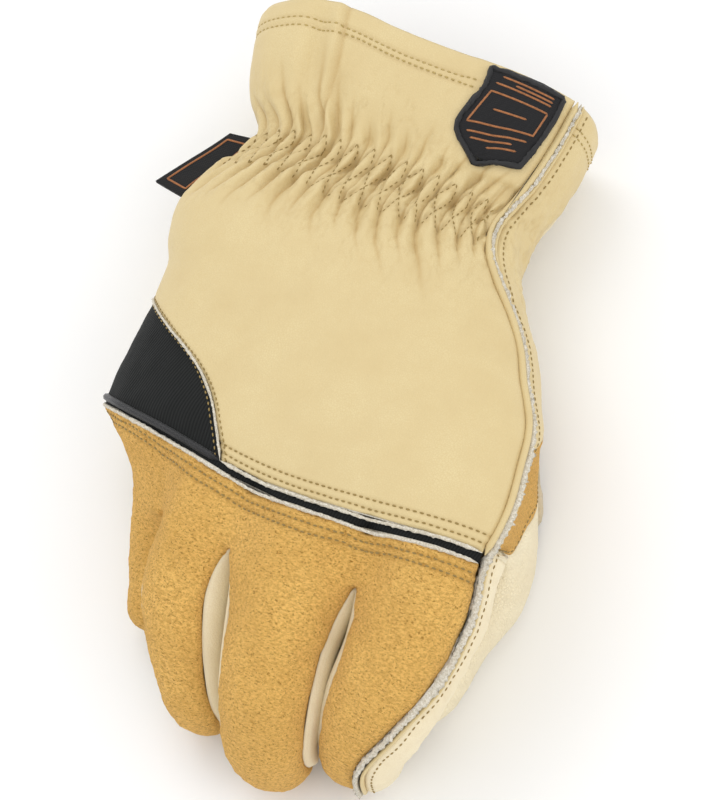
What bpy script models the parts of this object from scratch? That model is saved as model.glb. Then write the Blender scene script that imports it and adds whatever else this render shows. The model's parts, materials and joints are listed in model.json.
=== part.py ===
"""Insulated leather driver glove, right hand, lying palm down with curled fingers.

Metres, +Z up. The cuff opens toward +Y, the fingers point toward -Y and the thumb lies on the +X side.
The origin is on the flattened underside of the palm panel.
Every leather panel is a shell of one wall thickness, cut from one smooth outer skin along its seams.
"""
import bpy
import numpy as np
from mathutils import Vector

# Overall sizes of the glove as it lies
LENGTH = 0.232          # hem to fingertips
WIDTH = 0.143           # across the knuckles
HEIGHT = 0.060          # table to the back of the hand

# Leather and seams
WALL = 0.0021           # leather with its insulation
SIDE_WALL = 0.0012      # the strips between the fingers are unlined
INSET = 0.00022         # each piece is drawn in from the seam line by this much
SIDE_INSET = 0.00065
LAST_SIDE_INSET = 0.00100
THUMB_INSET = 0.00045
SHARP_PULL = 2.5        # at the sharp corner of a panel, times the inset
WELT_RISE = 0.0016      # raw edges standing out of the outseam
WELT_CROWN = 0.0006
INSERT_SINK = 0.0004    # the stretch insert lies lower than the leather
STRIP_SINK = 0.0007
PATCH_SINK = 0.0003
HEM_HALF = 3.2          # half of the welt's width on the hand, in degrees of the section
WELT_HALF = 6.0         # half of the welt's width on the index finger, in degrees of the section

# Hand sections from hem to finger roots. Lengths are shares of LENGTH (station), WIDTH (left, right)
# and HEIGHT (side, rise, drop). Tilt and skew are slopes.
SECTION_COLUMNS = ("station", "left", "right", "side", "tilt", "rise", "drop", "skew")
SECTION_UNITS = (LENGTH, WIDTH, WIDTH, HEIGHT, 1.0, HEIGHT, HEIGHT, 1.0)
SECTIONS = (
    (0.375, -0.497, 0.303, 0.417, 0.00, 0.417, 0.430, -0.085),
    (0.313, -0.487, 0.296, 0.410, 0.00, 0.400, 0.425, -0.085),
    (0.252, -0.457, 0.278, 0.400, 0.00, 0.358, 0.400, -0.075),
    (0.209, -0.412, 0.258, 0.392, 0.00, 0.325, 0.375, -0.065),
    (0.174, -0.428, 0.252, 0.400, 0.01, 0.333, 0.385, -0.055),
    (0.135, -0.474, 0.265, 0.433, 0.03, 0.358, 0.440, -0.045),
    (0.087, -0.511, 0.307, 0.467, 0.05, 0.383, 0.500, -0.035),
    (0.035, -0.502, 0.366, 0.483, 0.07, 0.408, 0.535, -0.030),
    (-0.004, -0.477, 0.400, 0.500, 0.09, 0.417, 0.560, -0.020),
    (-0.043, -0.477, 0.428, 0.525, 0.11, 0.425, 0.565, -0.010),
    (-0.104, -0.488, 0.480, 0.550, 0.14, 0.433, 0.520, 0.000),
    (-0.174, -0.496, 0.508, 0.583, 0.17, 0.433, 0.430, 0.000),
    (-0.217, -0.488, 0.521, 0.608, 0.18, 0.425, 0.370, 0.000),
    (-0.252, -0.452, 0.520, 0.625, 0.18, 0.408, 0.333, 0.000),
    (-0.304, -0.390, 0.506, 0.642, 0.18, 0.375, 0.300, 0.000),
    (-0.391, -0.370, 0.493, 0.650, 0.18, 0.333, 0.267, 0.000),
)
BACK_SQUARENESS = 2.5
PALM_SQUARENESS = 2.6
ULNAR_ANGLE = 186.0

# Where the outseam runs round the section, in degrees, by station
OUTSEAM_COLUMNS = ("station", "angle")
OUTSEAM = (
    (0.375, 26.0),
    (0.252, 31.0),
    (0.170, 36.0),
    (0.110, 30.0),
    (0.070, 25.0),
    (-0.043, 18.0),
    (-0.217, 17.0),
    (-0.391, 20.0),
)

# Station of the cuff hem by share of the way round, from the outseam to the ulnar seam
HEM_COLUMNS = ("share", "back_station", "palm_station")
HEM = (
    (0.00, 0.380, 0.380),
    (0.15, 0.378, 0.370),
    (0.30, 0.374, 0.360),
    (0.45, 0.375, 0.356),
    (0.58, 0.383, 0.354),
    (0.68, 0.383, 0.352),
    (0.80, 0.370, 0.350),
    (1.00, 0.350, 0.350),
)

# Even line that the rows of the hand follow down to the knuckles, before they bend to the finger roots
ROOT_LINE_COLUMNS = ("share", "back_station", "palm_station")
ROOT_LINE = (
    (0.00, -0.372, -0.365),
    (0.25, -0.378, -0.360),
    (0.50, -0.368, -0.352),
    (0.76, -0.322, -0.318),
    (1.00, -0.276, -0.276),
)
ROOT_BEND = 0.90        # row where they begin to bend

# Finger rows from root to tip: centre, width and height of the section, and its roll in degrees
FINGER_COLUMNS = ("x", "y", "z", "width", "height", "roll")
FINGER_UNITS = (WIDTH, LENGTH, HEIGHT, WIDTH, WIDTH, 1.0)
INDEX = (
    (0.383, -0.365, 0.733, 0.255, 0.221, 6.0),
    (0.370, -0.433, 0.667, 0.243, 0.210, 6.0),
    (0.346, -0.485, 0.550, 0.226, 0.200, 6.0),
    (0.318, -0.518, 0.375, 0.192, 0.186, 6.0),
    (0.292, -0.527, 0.020, 0.158, 0.140, 6.0),
)
MIDDLE = (
    (0.104, -0.374, 0.725, 0.243, 0.221, 8.0),
    (0.108, -0.450, 0.642, 0.230, 0.210, 8.0),
    (0.118, -0.518, 0.508, 0.211, 0.200, 8.0),
    (0.122, -0.555, 0.333, 0.190, 0.186, 8.0),
    (0.126, -0.557, 0.020, 0.160, 0.150, 8.0),
)
RING = (
    (-0.146, -0.348, 0.618, 0.205, 0.207, 8.0),
    (-0.130, -0.420, 0.552, 0.196, 0.200, 8.0),
    (-0.094, -0.480, 0.433, 0.170, 0.190, 8.0),
    (-0.062, -0.518, 0.275, 0.154, 0.176, 8.0),
    (-0.048, -0.517, 0.020, 0.132, 0.140, 8.0),
)
PINKY = (
    (-0.288, -0.287, 0.350, 0.148, 0.186, 8.0),
    (-0.278, -0.343, 0.225, 0.138, 0.160, 8.0),
    (-0.260, -0.387, 0.175, 0.135, 0.143, 8.0),
    (-0.242, -0.424, 0.155, 0.130, 0.132, 8.0),
    (-0.226, -0.455, 0.140, 0.122, 0.118, 8.0),
)
FINGERS = (INDEX, MIDDLE, RING, PINKY)
FINGER_SQUARENESS = 2.2
TIP_START = 0.80        # where a finger begins to round off, as a share of its length
CROTCH_REACH = 0.34     # how far the finger walls bend to meet at the crotch
ROOT_REACH = 0.110      # of LENGTH: how far back the finger lobes fade into the hand

# Seam angles round each finger, in degrees, and where the side strip between them closes
FINGER_SEAM_COLUMNS = ("back_right", "back_left", "palm_left", "palm_right")
FINGER_SEAMS = (
    (20.0 + WELT_HALF, 152.0, 202.0, 20.0 - WELT_HALF),
    (14.0, 152.0, 202.0, -22.0),
    (42.0, 156.0, 212.0, -22.0),
    (34.0, 186.0, 186.0, -10.0),
)
STRIP_CLOSING = (0.66, 0.88)
WELT_CLIMB = 55.0       # degrees by which the outseam climbs over the back of the index finger
WELT_CLIMB_SPAN = (0.12, 0.72)
WELT_CLOSING = (0.78, 0.95)

# Share of the hand's girth that each finger takes at its root, back and palm
BACK_KNOTS = (0.0, 0.245, 0.505, 0.760, 1.0)
PALM_KNOTS = (0.0, 0.330, 0.560, 0.790, 1.0)

# Thumb rows from its first full ring to the tip, in the finger columns
THUMB = (
    (0.400, -0.287, 0.234, 0.206, 0.205, 0.0),
    (0.380, -0.348, 0.230, 0.180, 0.192, 0.0),
    (0.370, -0.404, 0.212, 0.168, 0.178, 0.0),
    (0.368, -0.440, 0.195, 0.160, 0.164, 0.0),
    (0.374, -0.472, 0.175, 0.150, 0.146, 0.0),
)
THUMB_TIP_START = 0.62
THUMB_PULL = 0.42       # how early the base lines turn along the thumb
UPPER_LEAVE = 0.28      # how far they first follow the hand, above and below
LOWER_LEAVE = 0.12

# Rows of the hand from hem to finger roots: how far down they lie at the outseam and at the ulnar seam,
# where the wrist side panel and the palm panel end on the thumb side, where the back panel ends on the
# ulnar side, the angle of the thumb's first ring that the two thumb base lines run to, and how much of
# the upper line the thumb patch covers.
ROW_COLUMNS = (
    "outseam", "ulnar", "side_panel", "palm_start", "back_end", "upper_angle", "lower_angle", "patch",
)
ROWS = (
    (0.000, 0.000, 0.160, 0.160, 1.000, 0.0, 0.0, 0.00),
    (0.040, 0.040, 0.160, 0.160, 1.000, 0.0, 0.0, 0.00),
    (0.105, 0.105, 0.162, 0.162, 1.000, 0.0, 0.0, 0.00),
    (0.170, 0.170, 0.166, 0.166, 1.000, 0.0, 0.0, 0.00),
    (0.235, 0.235, 0.170, 0.170, 1.000, 0.0, 0.0, 0.00),
    (0.300, 0.300, 0.176, 0.176, 1.000, 0.0, 0.0, 0.00),
    (0.360, 0.360, 0.184, 0.184, 1.000, 0.0, 0.0, 0.00),
    (0.420, 0.420, 0.192, 0.192, 1.000, -50.0, 310.0, 0.00),
    (0.480, 0.480, 0.170, 0.280, 1.000, -34.0, 276.0, 0.00),
    (0.540, 0.540, 0.135, 0.330, 1.000, -18.0, 248.0, 0.25),
    (0.600, 0.600, 0.095, 0.355, 1.000, -2.0, 222.0, 0.42),
    (0.650, 0.645, 0.050, 0.362, 0.870, 14.0, 197.0, 0.52),
    (0.700, 0.685, 0.000, 0.356, 0.765, 28.0, 172.0, 0.57),
    (0.745, 0.720, 0.000, 0.338, 0.670, 35.0, 148.0, 0.58),
    (0.792, 0.760, 0.000, 0.308, 0.615, 40.0, 124.0, 0.58),
    (0.832, 0.795, 0.000, 0.265, 0.598, 44.0, 102.0, 0.57),
    (0.856, 0.815, 0.000, 0.205, 0.594, 46.0, 82.0, 0.55),
    (0.872, 0.828, 0.000, 0.135, 0.592, 48.0, 67.0, 0.50),
    (0.883, 0.838, 0.000, 0.065, 0.591, 50.0, 58.0, 0.38),
    (0.891, 0.845, 0.000, 0.000, 0.590, 53.0, 53.0, 0.00),
    (0.909, 0.864, 0.000, 0.000, 0.590, 0.0, 0.0, 0.00),
    (0.939, 0.909, 0.000, 0.000, 0.590, 0.0, 0.0, 0.00),
    (0.969, 0.954, 0.000, 0.000, 0.590, 0.0, 0.0, 0.00),
    (1.000, 1.000, 0.000, 0.000, 0.590, 0.0, 0.0, 0.00),
)
ROW_BEND = 4            # the rows keep level with the outseam and turn only near the ulnar seam
HOLE_TOP = 7
TONGUE_TIP = 12
INSERT_TOP = 10
WEB_ROW = 15            # below this row the palm ends on the side of the hand
STRIP_TOP = 19
STRIP_BOTTOM = 20
ROOT_ROW = 23

# Folds of the back panel: share of the girth, first and last station, half width (of WIDTH), depth (of HEIGHT)
FOLD_COLUMNS = ("share", "first", "last", "half_width", "depth")
FOLDS = (
    (0.67, 0.420, 0.150, 0.035, 0.050),
    (0.58, 0.300, 0.080, 0.026, 0.022),
    (0.47, 0.290, 0.070, 0.026, 0.024),
    (0.36, 0.280, 0.070, 0.026, 0.022),
    (0.25, 0.270, 0.080, 0.026, 0.024),
    (0.14, 0.330, 0.130, 0.030, 0.030),
    (0.82, 0.270, 0.060, 0.028, 0.026),
)

# Mesh steps
BACK_STEPS = 6          # columns on the back of one finger
PALM_STEPS = 5
SIDE_STEPS = 3
SIDE_PANEL_STEPS = 4
FINGER_STEPS = (0.0, 0.035, 0.09, 0.18, 0.28, 0.39, 0.51, 0.64, 0.76, 0.86, 0.94, 1.0)
PATCH_STEPS = 3
THUMB_BASE_STEPS = 5
THUMB_STEPS = (0.0, 0.18, 0.36, 0.54, 0.72, 0.87, 0.96, 1.0)
BACK_PANEL_STEPS = 28
INSERT_COLUMN = 14      # column of the knuckles where the insert begins

# Label patch on the cuff: rows of its two side edges, as shares of the girth and of the hand's length
LABEL_COLUMNS = ("outer_share", "outer_row", "inner_share", "inner_row")
LABEL = (
    (0.022, 0.006, 0.225, 0.006),
    (0.020, 0.045, 0.217, 0.045),
    (0.022, 0.100, 0.252, 0.130),
    (0.040, 0.160, 0.150, 0.184),
)
LABEL_STEPS = (9, 9)
LABEL_LIFT = 0.0006
LABEL_THICKNESS = 0.0009

# Side tag: a folded woven loop standing out of the ulnar seam. Stations of its two ends along the seam
# and its outer corners, as shares of LENGTH and WIDTH
TAG_CORNER_COLUMNS = ("seam_station", "outer_x", "outer_y")
TAG = (
    (0.203, -0.482, 0.215),
    (0.095, -0.594, 0.118),
)
TAG_GAP = 0.0010
TAG_THICKNESS = 0.0014
TAG_STEPS = 6

# Colours, linear
GRAIN_LEATHER = (0.76, 0.62, 0.38, 1.0)
SUEDE_LEATHER = (0.66, 0.40, 0.13, 1.0)
STRETCH_FABRIC = (0.020, 0.022, 0.022, 1.0)
RAW_EDGE = (0.62, 0.56, 0.45, 1.0)
WOVEN_LABEL = (0.025, 0.025, 0.027, 1.0)


def scaled(table, units):
    """Turn a table of shares into metres."""
    return np.array(table) * np.array(units)


def smooth(value):
    """Ease a share from 0 to 1."""
    value = np.clip(value, 0.0, 1.0)
    return value * value * (3.0 - 2.0 * value)


def curve_through(where, stations, rows):
    """Smooth curve through the rows of a table whose stations rise."""
    steps = np.diff(stations)
    slopes = np.diff(rows, axis=0) / steps[:, None]
    tangents = np.empty_like(rows)
    tangents[1:-1] = (slopes[:-1] * steps[1:, None] + slopes[1:] * steps[:-1, None])
    tangents[1:-1] /= (steps[1:] + steps[:-1])[:, None]
    tangents[0] = slopes[0]
    tangents[-1] = slopes[-1]
    where = np.clip(where, stations[0], stations[-1])
    index = np.clip(np.searchsorted(stations, where, side="right") - 1, 0, len(stations) - 2)
    step = (stations[index + 1] - stations[index])[..., None]
    t = (where - stations[index])[..., None] / step
    first = (2 * t**3 - 3 * t**2 + 1) * rows[index] + (t**3 - 2 * t**2 + t) * step * tangents[index]
    second = (3 * t**2 - 2 * t**3) * rows[index + 1] + (t**3 - t**2) * step * tangents[index + 1]
    return first + second


SECTION_TABLE = scaled(SECTIONS, SECTION_UNITS)
OUTSEAM_TABLE = scaled(OUTSEAM, (LENGTH, 1.0))
HEM_TABLE = scaled(HEM, (1.0, LENGTH, LENGTH))
ROOT_LINE_TABLE = scaled(ROOT_LINE, (1.0, LENGTH, LENGTH))
FOLD_TABLE = scaled(FOLDS, (1.0, LENGTH, LENGTH, WIDTH, HEIGHT))
FINGER_TABLES = [scaled(rows, FINGER_UNITS) for rows in FINGERS]
THUMB_TABLE = scaled(THUMB, FINGER_UNITS)
ARC_SAMPLES = 97


def oval(angle, squareness):
    """Unit point of a squared oval."""
    c = np.cos(np.radians(angle))
    s = np.sin(np.radians(angle))
    power = 2.0 / squareness
    return np.sign(c) * np.abs(c) ** power, np.sign(s) * np.abs(s) ** power


def hand_section(station, angle):
    """Point of the hand's outer skin on one section."""
    values = curve_through(-station, -SECTION_TABLE[:, 0], SECTION_TABLE[:, 1:])
    left, right, side, tilt, rise, drop, skew = np.moveaxis(values, -1, 0)
    upper = np.sin(np.radians(angle)) >= 0.0
    across, up = oval(angle, np.where(upper, BACK_SQUARENESS, PALM_SQUARENESS))
    offset = (right - left) / 2.0 * across
    height = side + tilt * offset + np.where(upper, rise, drop) * up
    return np.stack([(right + left) / 2.0 + offset, station + skew * offset, height], -1)


def hand_skin(share, station, palm):
    """Point of the hand's outer skin by share of the girth from the outseam to the ulnar seam."""
    seam = curve_through(-station, -OUTSEAM_TABLE[:, 0], OUTSEAM_TABLE[:, 1:])[..., 0]
    start = seam - HEM_HALF if palm else seam + HEM_HALF
    end = ULNAR_ANGLE - 360.0 if palm else ULNAR_ANGLE
    steps = np.linspace(0.0, 1.0, ARC_SAMPLES)
    angles = start[..., None] + (end - start)[..., None] * steps
    points = hand_section(np.broadcast_to(station[..., None], angles.shape), angles)
    lengths = np.linalg.norm(np.diff(points, axis=-2), axis=-1)
    reached = np.concatenate([np.zeros(lengths.shape[:-1] + (1,)), np.cumsum(lengths, -1)], -1)
    goal = share * reached[..., -1]
    below = np.clip((reached < goal[..., None]).sum(-1) - 1, 0, ARC_SAMPLES - 2)[..., None]
    low = np.take_along_axis(reached, below, -1)[..., 0]
    high = np.take_along_axis(reached, below + 1, -1)[..., 0]
    part = (goal - low) / np.maximum(high - low, 1e-12)
    first = np.take_along_axis(angles, below, -1)[..., 0]
    second = np.take_along_axis(angles, below + 1, -1)[..., 0]
    return hand_section(station, first + (second - first) * part)


def tube(rows, angle, along, tip_start=TIP_START):
    """Point of a finger's tube: angle round its section, share along its centre line."""
    lengths = np.linalg.norm(np.diff(rows[:, :3], axis=0), axis=1)
    stations = np.concatenate([[0.0], np.cumsum(lengths)])
    stations /= stations[-1]
    values = curve_through(along, stations, rows)
    nudge = 1e-3
    ahead = curve_through(along + nudge, stations, rows)[..., :3]
    behind = curve_through(along - nudge, stations, rows)[..., :3]
    direction = ahead - behind
    direction /= np.linalg.norm(direction, axis=-1, keepdims=True)
    roll = np.radians(values[..., 5])
    sideways = np.stack([np.cos(roll), np.zeros_like(roll), np.sin(roll)], -1)
    sideways = sideways - (sideways * direction).sum(-1, keepdims=True) * direction
    sideways /= np.linalg.norm(sideways, axis=-1, keepdims=True)
    upward = np.cross(direction, sideways)
    rounding = np.clip((along - tip_start) / (1.0 - tip_start), 0.0, 1.0)
    shrink = (1.0 - rounding**2.4) ** (1.0 / 2.4)
    across, up = oval(angle, FINGER_SQUARENESS)
    return (values[..., :3] + sideways * (values[..., 3] / 2.0 * shrink * across)[..., None]
            + upward * (values[..., 4] / 2.0 * shrink * up)[..., None])


def closing(along, span):
    """Width left of a side strip that closes in a point."""
    share = np.clip((along - span[0]) / (span[1] - span[0]), 0.0, 1.0)
    return np.sqrt(1.0 - share**2)


def seam_angle(finger, name, along):
    """Angle of one of a finger's seams at a share of its length."""
    seams = FINGER_SEAMS[finger]
    angle = seams[FINGER_SEAM_COLUMNS.index(name)]
    right = name.endswith("right")
    pair = ("back_right", "palm_right") if right else ("back_left", "palm_left")
    middle = sum(seams[FINGER_SEAM_COLUMNS.index(each)] for each in pair) / 2.0
    if finger == 0 and right:
        start, end = WELT_CLIMB_SPAN
        climb = WELT_CLIMB * smooth((along - start) / (end - start))
        return middle + climb + (angle - middle) * closing(along, WELT_CLOSING)
    return middle + (angle - middle) * closing(along, STRIP_CLOSING)


def crotch_corner(gap, palm):
    """Where two neighbouring fingers and the hand meet, on the back or the palm."""
    side = "palm" if palm else "back"
    start = np.zeros(1)
    left = tube(FINGER_TABLES[gap], seam_angle(gap, side + "_left", start), start)[0]
    right = tube(FINGER_TABLES[gap + 1], seam_angle(gap + 1, side + "_right", start), start)[0]
    return (left + right) / 2.0


def crotch_fade(along):
    """How strongly a finger wall is drawn to the crotch."""
    share = np.clip(along / CROTCH_REACH, 0.0, 1.0)
    return (1.0 - share) ** 2


def finger_skin(finger, share, along, palm):
    """Point on the back or the palm of a finger: share of the arc from its right to its left seam."""
    side = "palm" if palm else "back"
    turn = 360.0 if palm else 0.0
    right = seam_angle(finger, side + "_right", along)
    left = seam_angle(finger, side + "_left", along) - turn
    points = tube(FINGER_TABLES[finger], right + (left - right) * share, along)
    fade = crotch_fade(along)
    start = np.zeros(1)
    if finger < 3:
        own = tube(FINGER_TABLES[finger], seam_angle(finger, side + "_left", start), start)[0]
        pull = crotch_corner(finger, palm) - own
        points = points + (fade * smooth(2.0 * share - 1.0))[..., None] * pull
    if finger > 0:
        own = tube(FINGER_TABLES[finger], seam_angle(finger, side + "_right", start), start)[0]
        pull = crotch_corner(finger - 1, palm) - own
        points = points + (fade * smooth(1.0 - 2.0 * share))[..., None] * pull
    return points


def side_skin(gap, far, share, along):
    """Point of a side strip on the nearer or the farther finger: share from its back to its palm edge."""
    finger = gap + 1 if far else gap
    end = "_right" if far else "_left"
    back = seam_angle(finger, "back" + end, along)
    palm = seam_angle(finger, "palm" + end, along)
    points = tube(FINGER_TABLES[finger], back + (palm - back) * share, along)
    edge = np.zeros_like(along) if far else np.ones_like(along)
    back_edge = finger_skin(finger, edge, along, False)
    palm_edge = finger_skin(finger, edge, along, True)
    back_miss = back_edge - tube(FINGER_TABLES[finger], back, along)
    palm_miss = palm_edge - tube(FINGER_TABLES[finger], palm, along)
    share = share[..., None]
    fade = crotch_fade(along)[..., None]
    points = points + (1.0 - share) * back_miss + share * palm_miss
    straight = (1.0 - share) * back_edge + share * palm_edge
    return points * (1.0 - fade) + straight * fade


def finger_roots(share, palm):
    """Root line of the fingers, and the direction they leave it in."""
    knots = np.array(PALM_KNOTS if palm else BACK_KNOTS)
    which = np.clip(np.searchsorted(knots, share, side="right") - 1, 0, 3)
    points = np.zeros(share.shape + (3,))
    for finger in range(4):
        mask = which == finger
        part = (share[mask] - knots[finger]) / (knots[finger + 1] - knots[finger])
        points[mask] = finger_skin(finger, part, np.zeros(part.shape), palm)
    middles = (knots[:-1] + knots[1:]) / 2.0
    leaves = np.array([table[1, :3] - table[0, :3] for table in FINGER_TABLES])
    leaves /= np.linalg.norm(leaves, axis=1, keepdims=True)
    direction = np.stack([np.interp(share, middles, leaves[:, axis]) for axis in range(3)], -1)
    return points, direction


def fold_depth(share, station):
    """Depth of the cuff's fold and the gathers in the back panel."""
    depth = np.zeros(share.shape)
    for middle, first, last, half_width, deep in FOLD_TABLE:
        across = (share - middle) * WIDTH / half_width
        along = smooth((first - station) / (0.1 * LENGTH)) * smooth((station - last) / (0.08 * LENGTH))
        depth += deep * np.exp(-across**2) * along
    return depth


def body_skin(share, row, palm):
    """Point of the hand: share of the girth from the outseam, row from the hem (0) to the finger roots (1)."""
    share, row = np.broadcast_arrays(np.asarray(share, float), np.asarray(row, float))
    roots, direction = finger_roots(share, palm)
    hem = curve_through(share, HEM_TABLE[:, 0], HEM_TABLE[:, 1:])[..., 1 if palm else 0]
    line = curve_through(share, ROOT_LINE_TABLE[:, 0], ROOT_LINE_TABLE[:, 1:])[..., 1 if palm else 0]
    bend = smooth((row - ROOT_BEND) / (1.0 - ROOT_BEND))
    station = hem + (line - hem) * row + (roots[..., 1] - line) * bend
    hand = hand_skin(share, station, palm)
    if not palm:
        hand[..., 2] -= fold_depth(share, station)
    behind = station - roots[..., 1]
    lobes = roots + direction * (behind / direction[..., 1])[..., None]
    reach = ROOT_REACH * LENGTH
    weight = smooth((reach - behind) / reach)[..., None]
    points = hand * (1.0 - weight) + lobes * weight
    return points


def row_value(name, row):
    """Entry of the row table."""
    return ROWS[row][ROW_COLUMNS.index(name)]


def hand_point(share, row, palm):
    """Point of the hand on a numbered row."""
    outseam = row_value("outseam", row)
    place = outseam + (row_value("ulnar", row) - outseam) * np.asarray(share) ** ROW_BEND
    return body_skin(share, place, palm)


def thumb_base_line(row, upper, steps):
    """Points along one base line of the thumb, from the palm's opening to the thumb's first ring."""
    share = row_value("side_panel" if upper else "palm_start", row)
    start = hand_point(np.array([share]), row, True)[0]
    inner_row = min(max(row, HOLE_TOP + 1), WEB_ROW)
    middle = (row_value("side_panel", inner_row) + row_value("palm_start", inner_row)) / 2.0
    inside = hand_point(np.array([middle]), inner_row, True)[0]
    angle = np.array([row_value("upper_angle" if upper else "lower_angle", row)])
    end = tube(THUMB_TABLE, angle, np.zeros(1), THUMB_TIP_START)[0]
    axis = THUMB_TABLE[1, :3] - THUMB_TABLE[0, :3]
    axis /= np.linalg.norm(axis)
    reach = np.linalg.norm(end - start)
    leave = UPPER_LEAVE if upper or row > WEB_ROW else LOWER_LEAVE
    first = start + (inside - start) / np.linalg.norm(inside - start) * (leave * reach)
    second = end - axis * (THUMB_PULL * reach)
    u = np.asarray(steps)[:, None]
    v = 1.0 - u
    return start * v**3 + first * (3.0 * u * v**2) + second * (3.0 * u**2 * v) + end * u**3


class Skin:
    """One outer skin whose grids share their border vertices, cut into named pieces."""

    def __init__(self):
        self.points = []
        self.lookup = {}
        self.faces = {}

    def vertex(self, point):
        point = np.array([point[0], point[1], max(point[2], 0.0)])
        key = tuple(np.round(point * 1e6).astype(int))
        if key not in self.lookup:
            self.lookup[key] = len(self.points)
            self.points.append(point)
        return self.lookup[key]

    def add_grid(self, piece, grid, outward):
        """Add a grid of points to a piece. Outward is +1 or -1: which way its faces turn."""
        indices = [[self.vertex(point) for point in line] for line in grid]
        for i in range(len(indices) - 1):
            for j in range(len(indices[0]) - 1):
                ring = [indices[i][j], indices[i][j + 1], indices[i + 1][j + 1], indices[i + 1][j]]
                corners = list(dict.fromkeys(ring))
                if len(corners) < 3:
                    continue
                if outward < 0:
                    corners.reverse()
                self.faces.setdefault(piece, []).append(corners)

    def normals(self):
        """Outward direction at every vertex, shared by all pieces that meet there."""
        total = np.zeros((len(self.points), 3))
        points = np.array(self.points)
        for faces in self.faces.values():
            for corners in faces:
                ring = points[corners]
                centre = ring.mean(axis=0)
                area = np.cross(ring - centre, np.roll(ring, -1, axis=0) - centre).sum(axis=0)
                total[corners] += area
        return total / np.linalg.norm(total, axis=1, keepdims=True)


def border_edges(faces):
    """Directed edges that only one face has."""
    edges = set()
    for corners in faces:
        for a, b in zip(corners, corners[1:] + corners[:1]):
            edges.add((a, b))
    return [(a, b) for a, b in edges if (b, a) not in edges]


def shell(skin, normals, piece, lift, wall, inset, crown=()):
    """Closed shell of one piece: drawn in from its seams, lifted, and given its wall."""
    faces = skin.faces[piece]
    points = np.array(skin.points)
    used = sorted({corner for corners in faces for corner in corners})
    border = {corner for edge in border_edges(faces) for corner in edge}
    inward = {corner: np.zeros(3) for corner in border}
    runs = {corner: [] for corner in border}
    for a, b in border_edges(faces):
        runs[a].append(points[b] - points[a])
        runs[b].append(points[a] - points[b])
    for corners in faces:
        centre = points[corners].mean(axis=0)
        for corner in corners:
            if corner in inward:
                inward[corner] += centre - points[corner]
    place = {corner: number for number, corner in enumerate(used)}
    outer = []
    inner = []
    for corner in used:
        point = points[corner].copy()
        normal = normals[corner]
        if corner in inward:
            pull = inward[corner] - normal * np.dot(inward[corner], normal)
            first, second = [run / np.linalg.norm(run) for run in runs[corner][:2]]
            sharp = SHARP_PULL if np.dot(first, second) > 0.2 else 1.0
            point += pull / np.linalg.norm(pull) * inset * sharp
        rise = lift + (WELT_CROWN if corner in crown else 0.0)
        outer.append(point + normal * rise)
        inner.append(point - normal * wall)
    count = len(used)
    closed = [[place[corner] for corner in corners] for corners in faces]
    closed += [[place[corner] + count for corner in reversed(corners)] for corners in faces]
    for a, b in border_edges(faces):
        ring = [place[b], place[a], place[a] + count, place[b] + count]
        if a > b:
            ring = ring[1:] + ring[:1]
        closed.append([ring[0], ring[1], ring[2]])
        closed.append([ring[0], ring[2], ring[3]])
    vertices = np.array(outer + inner)
    vertices[:, 2] = np.maximum(vertices[:, 2], 0.0)
    return vertices, closed


def plate(grid, lift, thickness, directions):
    """Closed plate over a grid of points, from lift to lift plus thickness along the directions."""
    rows, columns = grid.shape[:2]
    low = (grid + directions * lift).reshape(-1, 3)
    high = (grid + directions * (lift + thickness)).reshape(-1, 3)
    count = rows * columns
    faces = []
    for i in range(rows - 1):
        for j in range(columns - 1):
            a = i * columns + j
            ring = [a, a + columns, a + columns + 1, a + 1]
            faces.append([corner + count for corner in ring])
            faces.append(ring[::-1])
    for a, b in border_edges(faces[1::2]):
        faces.append([b, a, a + count, b + count])
    return np.concatenate([low, high]), faces


def grid_directions(grid):
    """Unit directions square to a grid of points."""
    down = np.gradient(grid, axis=0)
    across = np.gradient(grid, axis=1)
    square = np.cross(down, across)
    return square / np.linalg.norm(square, axis=-1, keepdims=True)


def knot_shares(knots, steps):
    """Columns that give every finger the same number of steps."""
    parts = [np.linspace(knots[i], knots[i + 1], steps + 1)[:-1] for i in range(4)]
    return np.concatenate(parts + [[1.0]])


def build_hand(skin):
    """Back, insert, strip, palm and wrist side panel, down to the finger roots."""
    back = knot_shares(BACK_KNOTS, BACK_STEPS)
    palm = knot_shares(PALM_KNOTS, PALM_STEPS)
    lines = []
    for row in range(STRIP_TOP + 1):
        lines.append(hand_point(np.linspace(0.0, row_value("back_end", row), BACK_PANEL_STEPS + 1), row, False))
    skin.add_grid("back_panel", np.array(lines), 1)
    lines = []
    for row in range(INSERT_TOP, STRIP_TOP + 1):
        start = row_value("back_end", row)
        shares = (back[INSERT_COLUMN:] - back[INSERT_COLUMN]) / (1.0 - back[INSERT_COLUMN])
        lines.append(hand_point(start + (1.0 - start) * shares, row, False))
    skin.add_grid("knuckle_insert", np.array(lines), 1)
    skin.add_grid("knuckle_strip", np.array([hand_point(back, row, False) for row in (STRIP_TOP, STRIP_BOTTOM)]), 1)
    rows = range(STRIP_BOTTOM, ROOT_ROW + 1)
    skin.add_grid("finger_back", np.array([hand_point(back, row, False) for row in rows]), 1)
    lines = []
    for row in range(ROOT_ROW + 1):
        start = row_value("palm_start", row)
        lines.append(hand_point(start + (1.0 - start) * palm, row, True))
    skin.add_grid("palm_panel", np.array(lines), -1)
    lines = []
    for row in range(TONGUE_TIP + 1):
        shares = np.linspace(0.0, row_value("side_panel", row), SIDE_PANEL_STEPS + 1)
        lines.append(hand_point(shares, row, True))
    skin.add_grid("wrist_side_panel", np.array(lines), -1)


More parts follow.
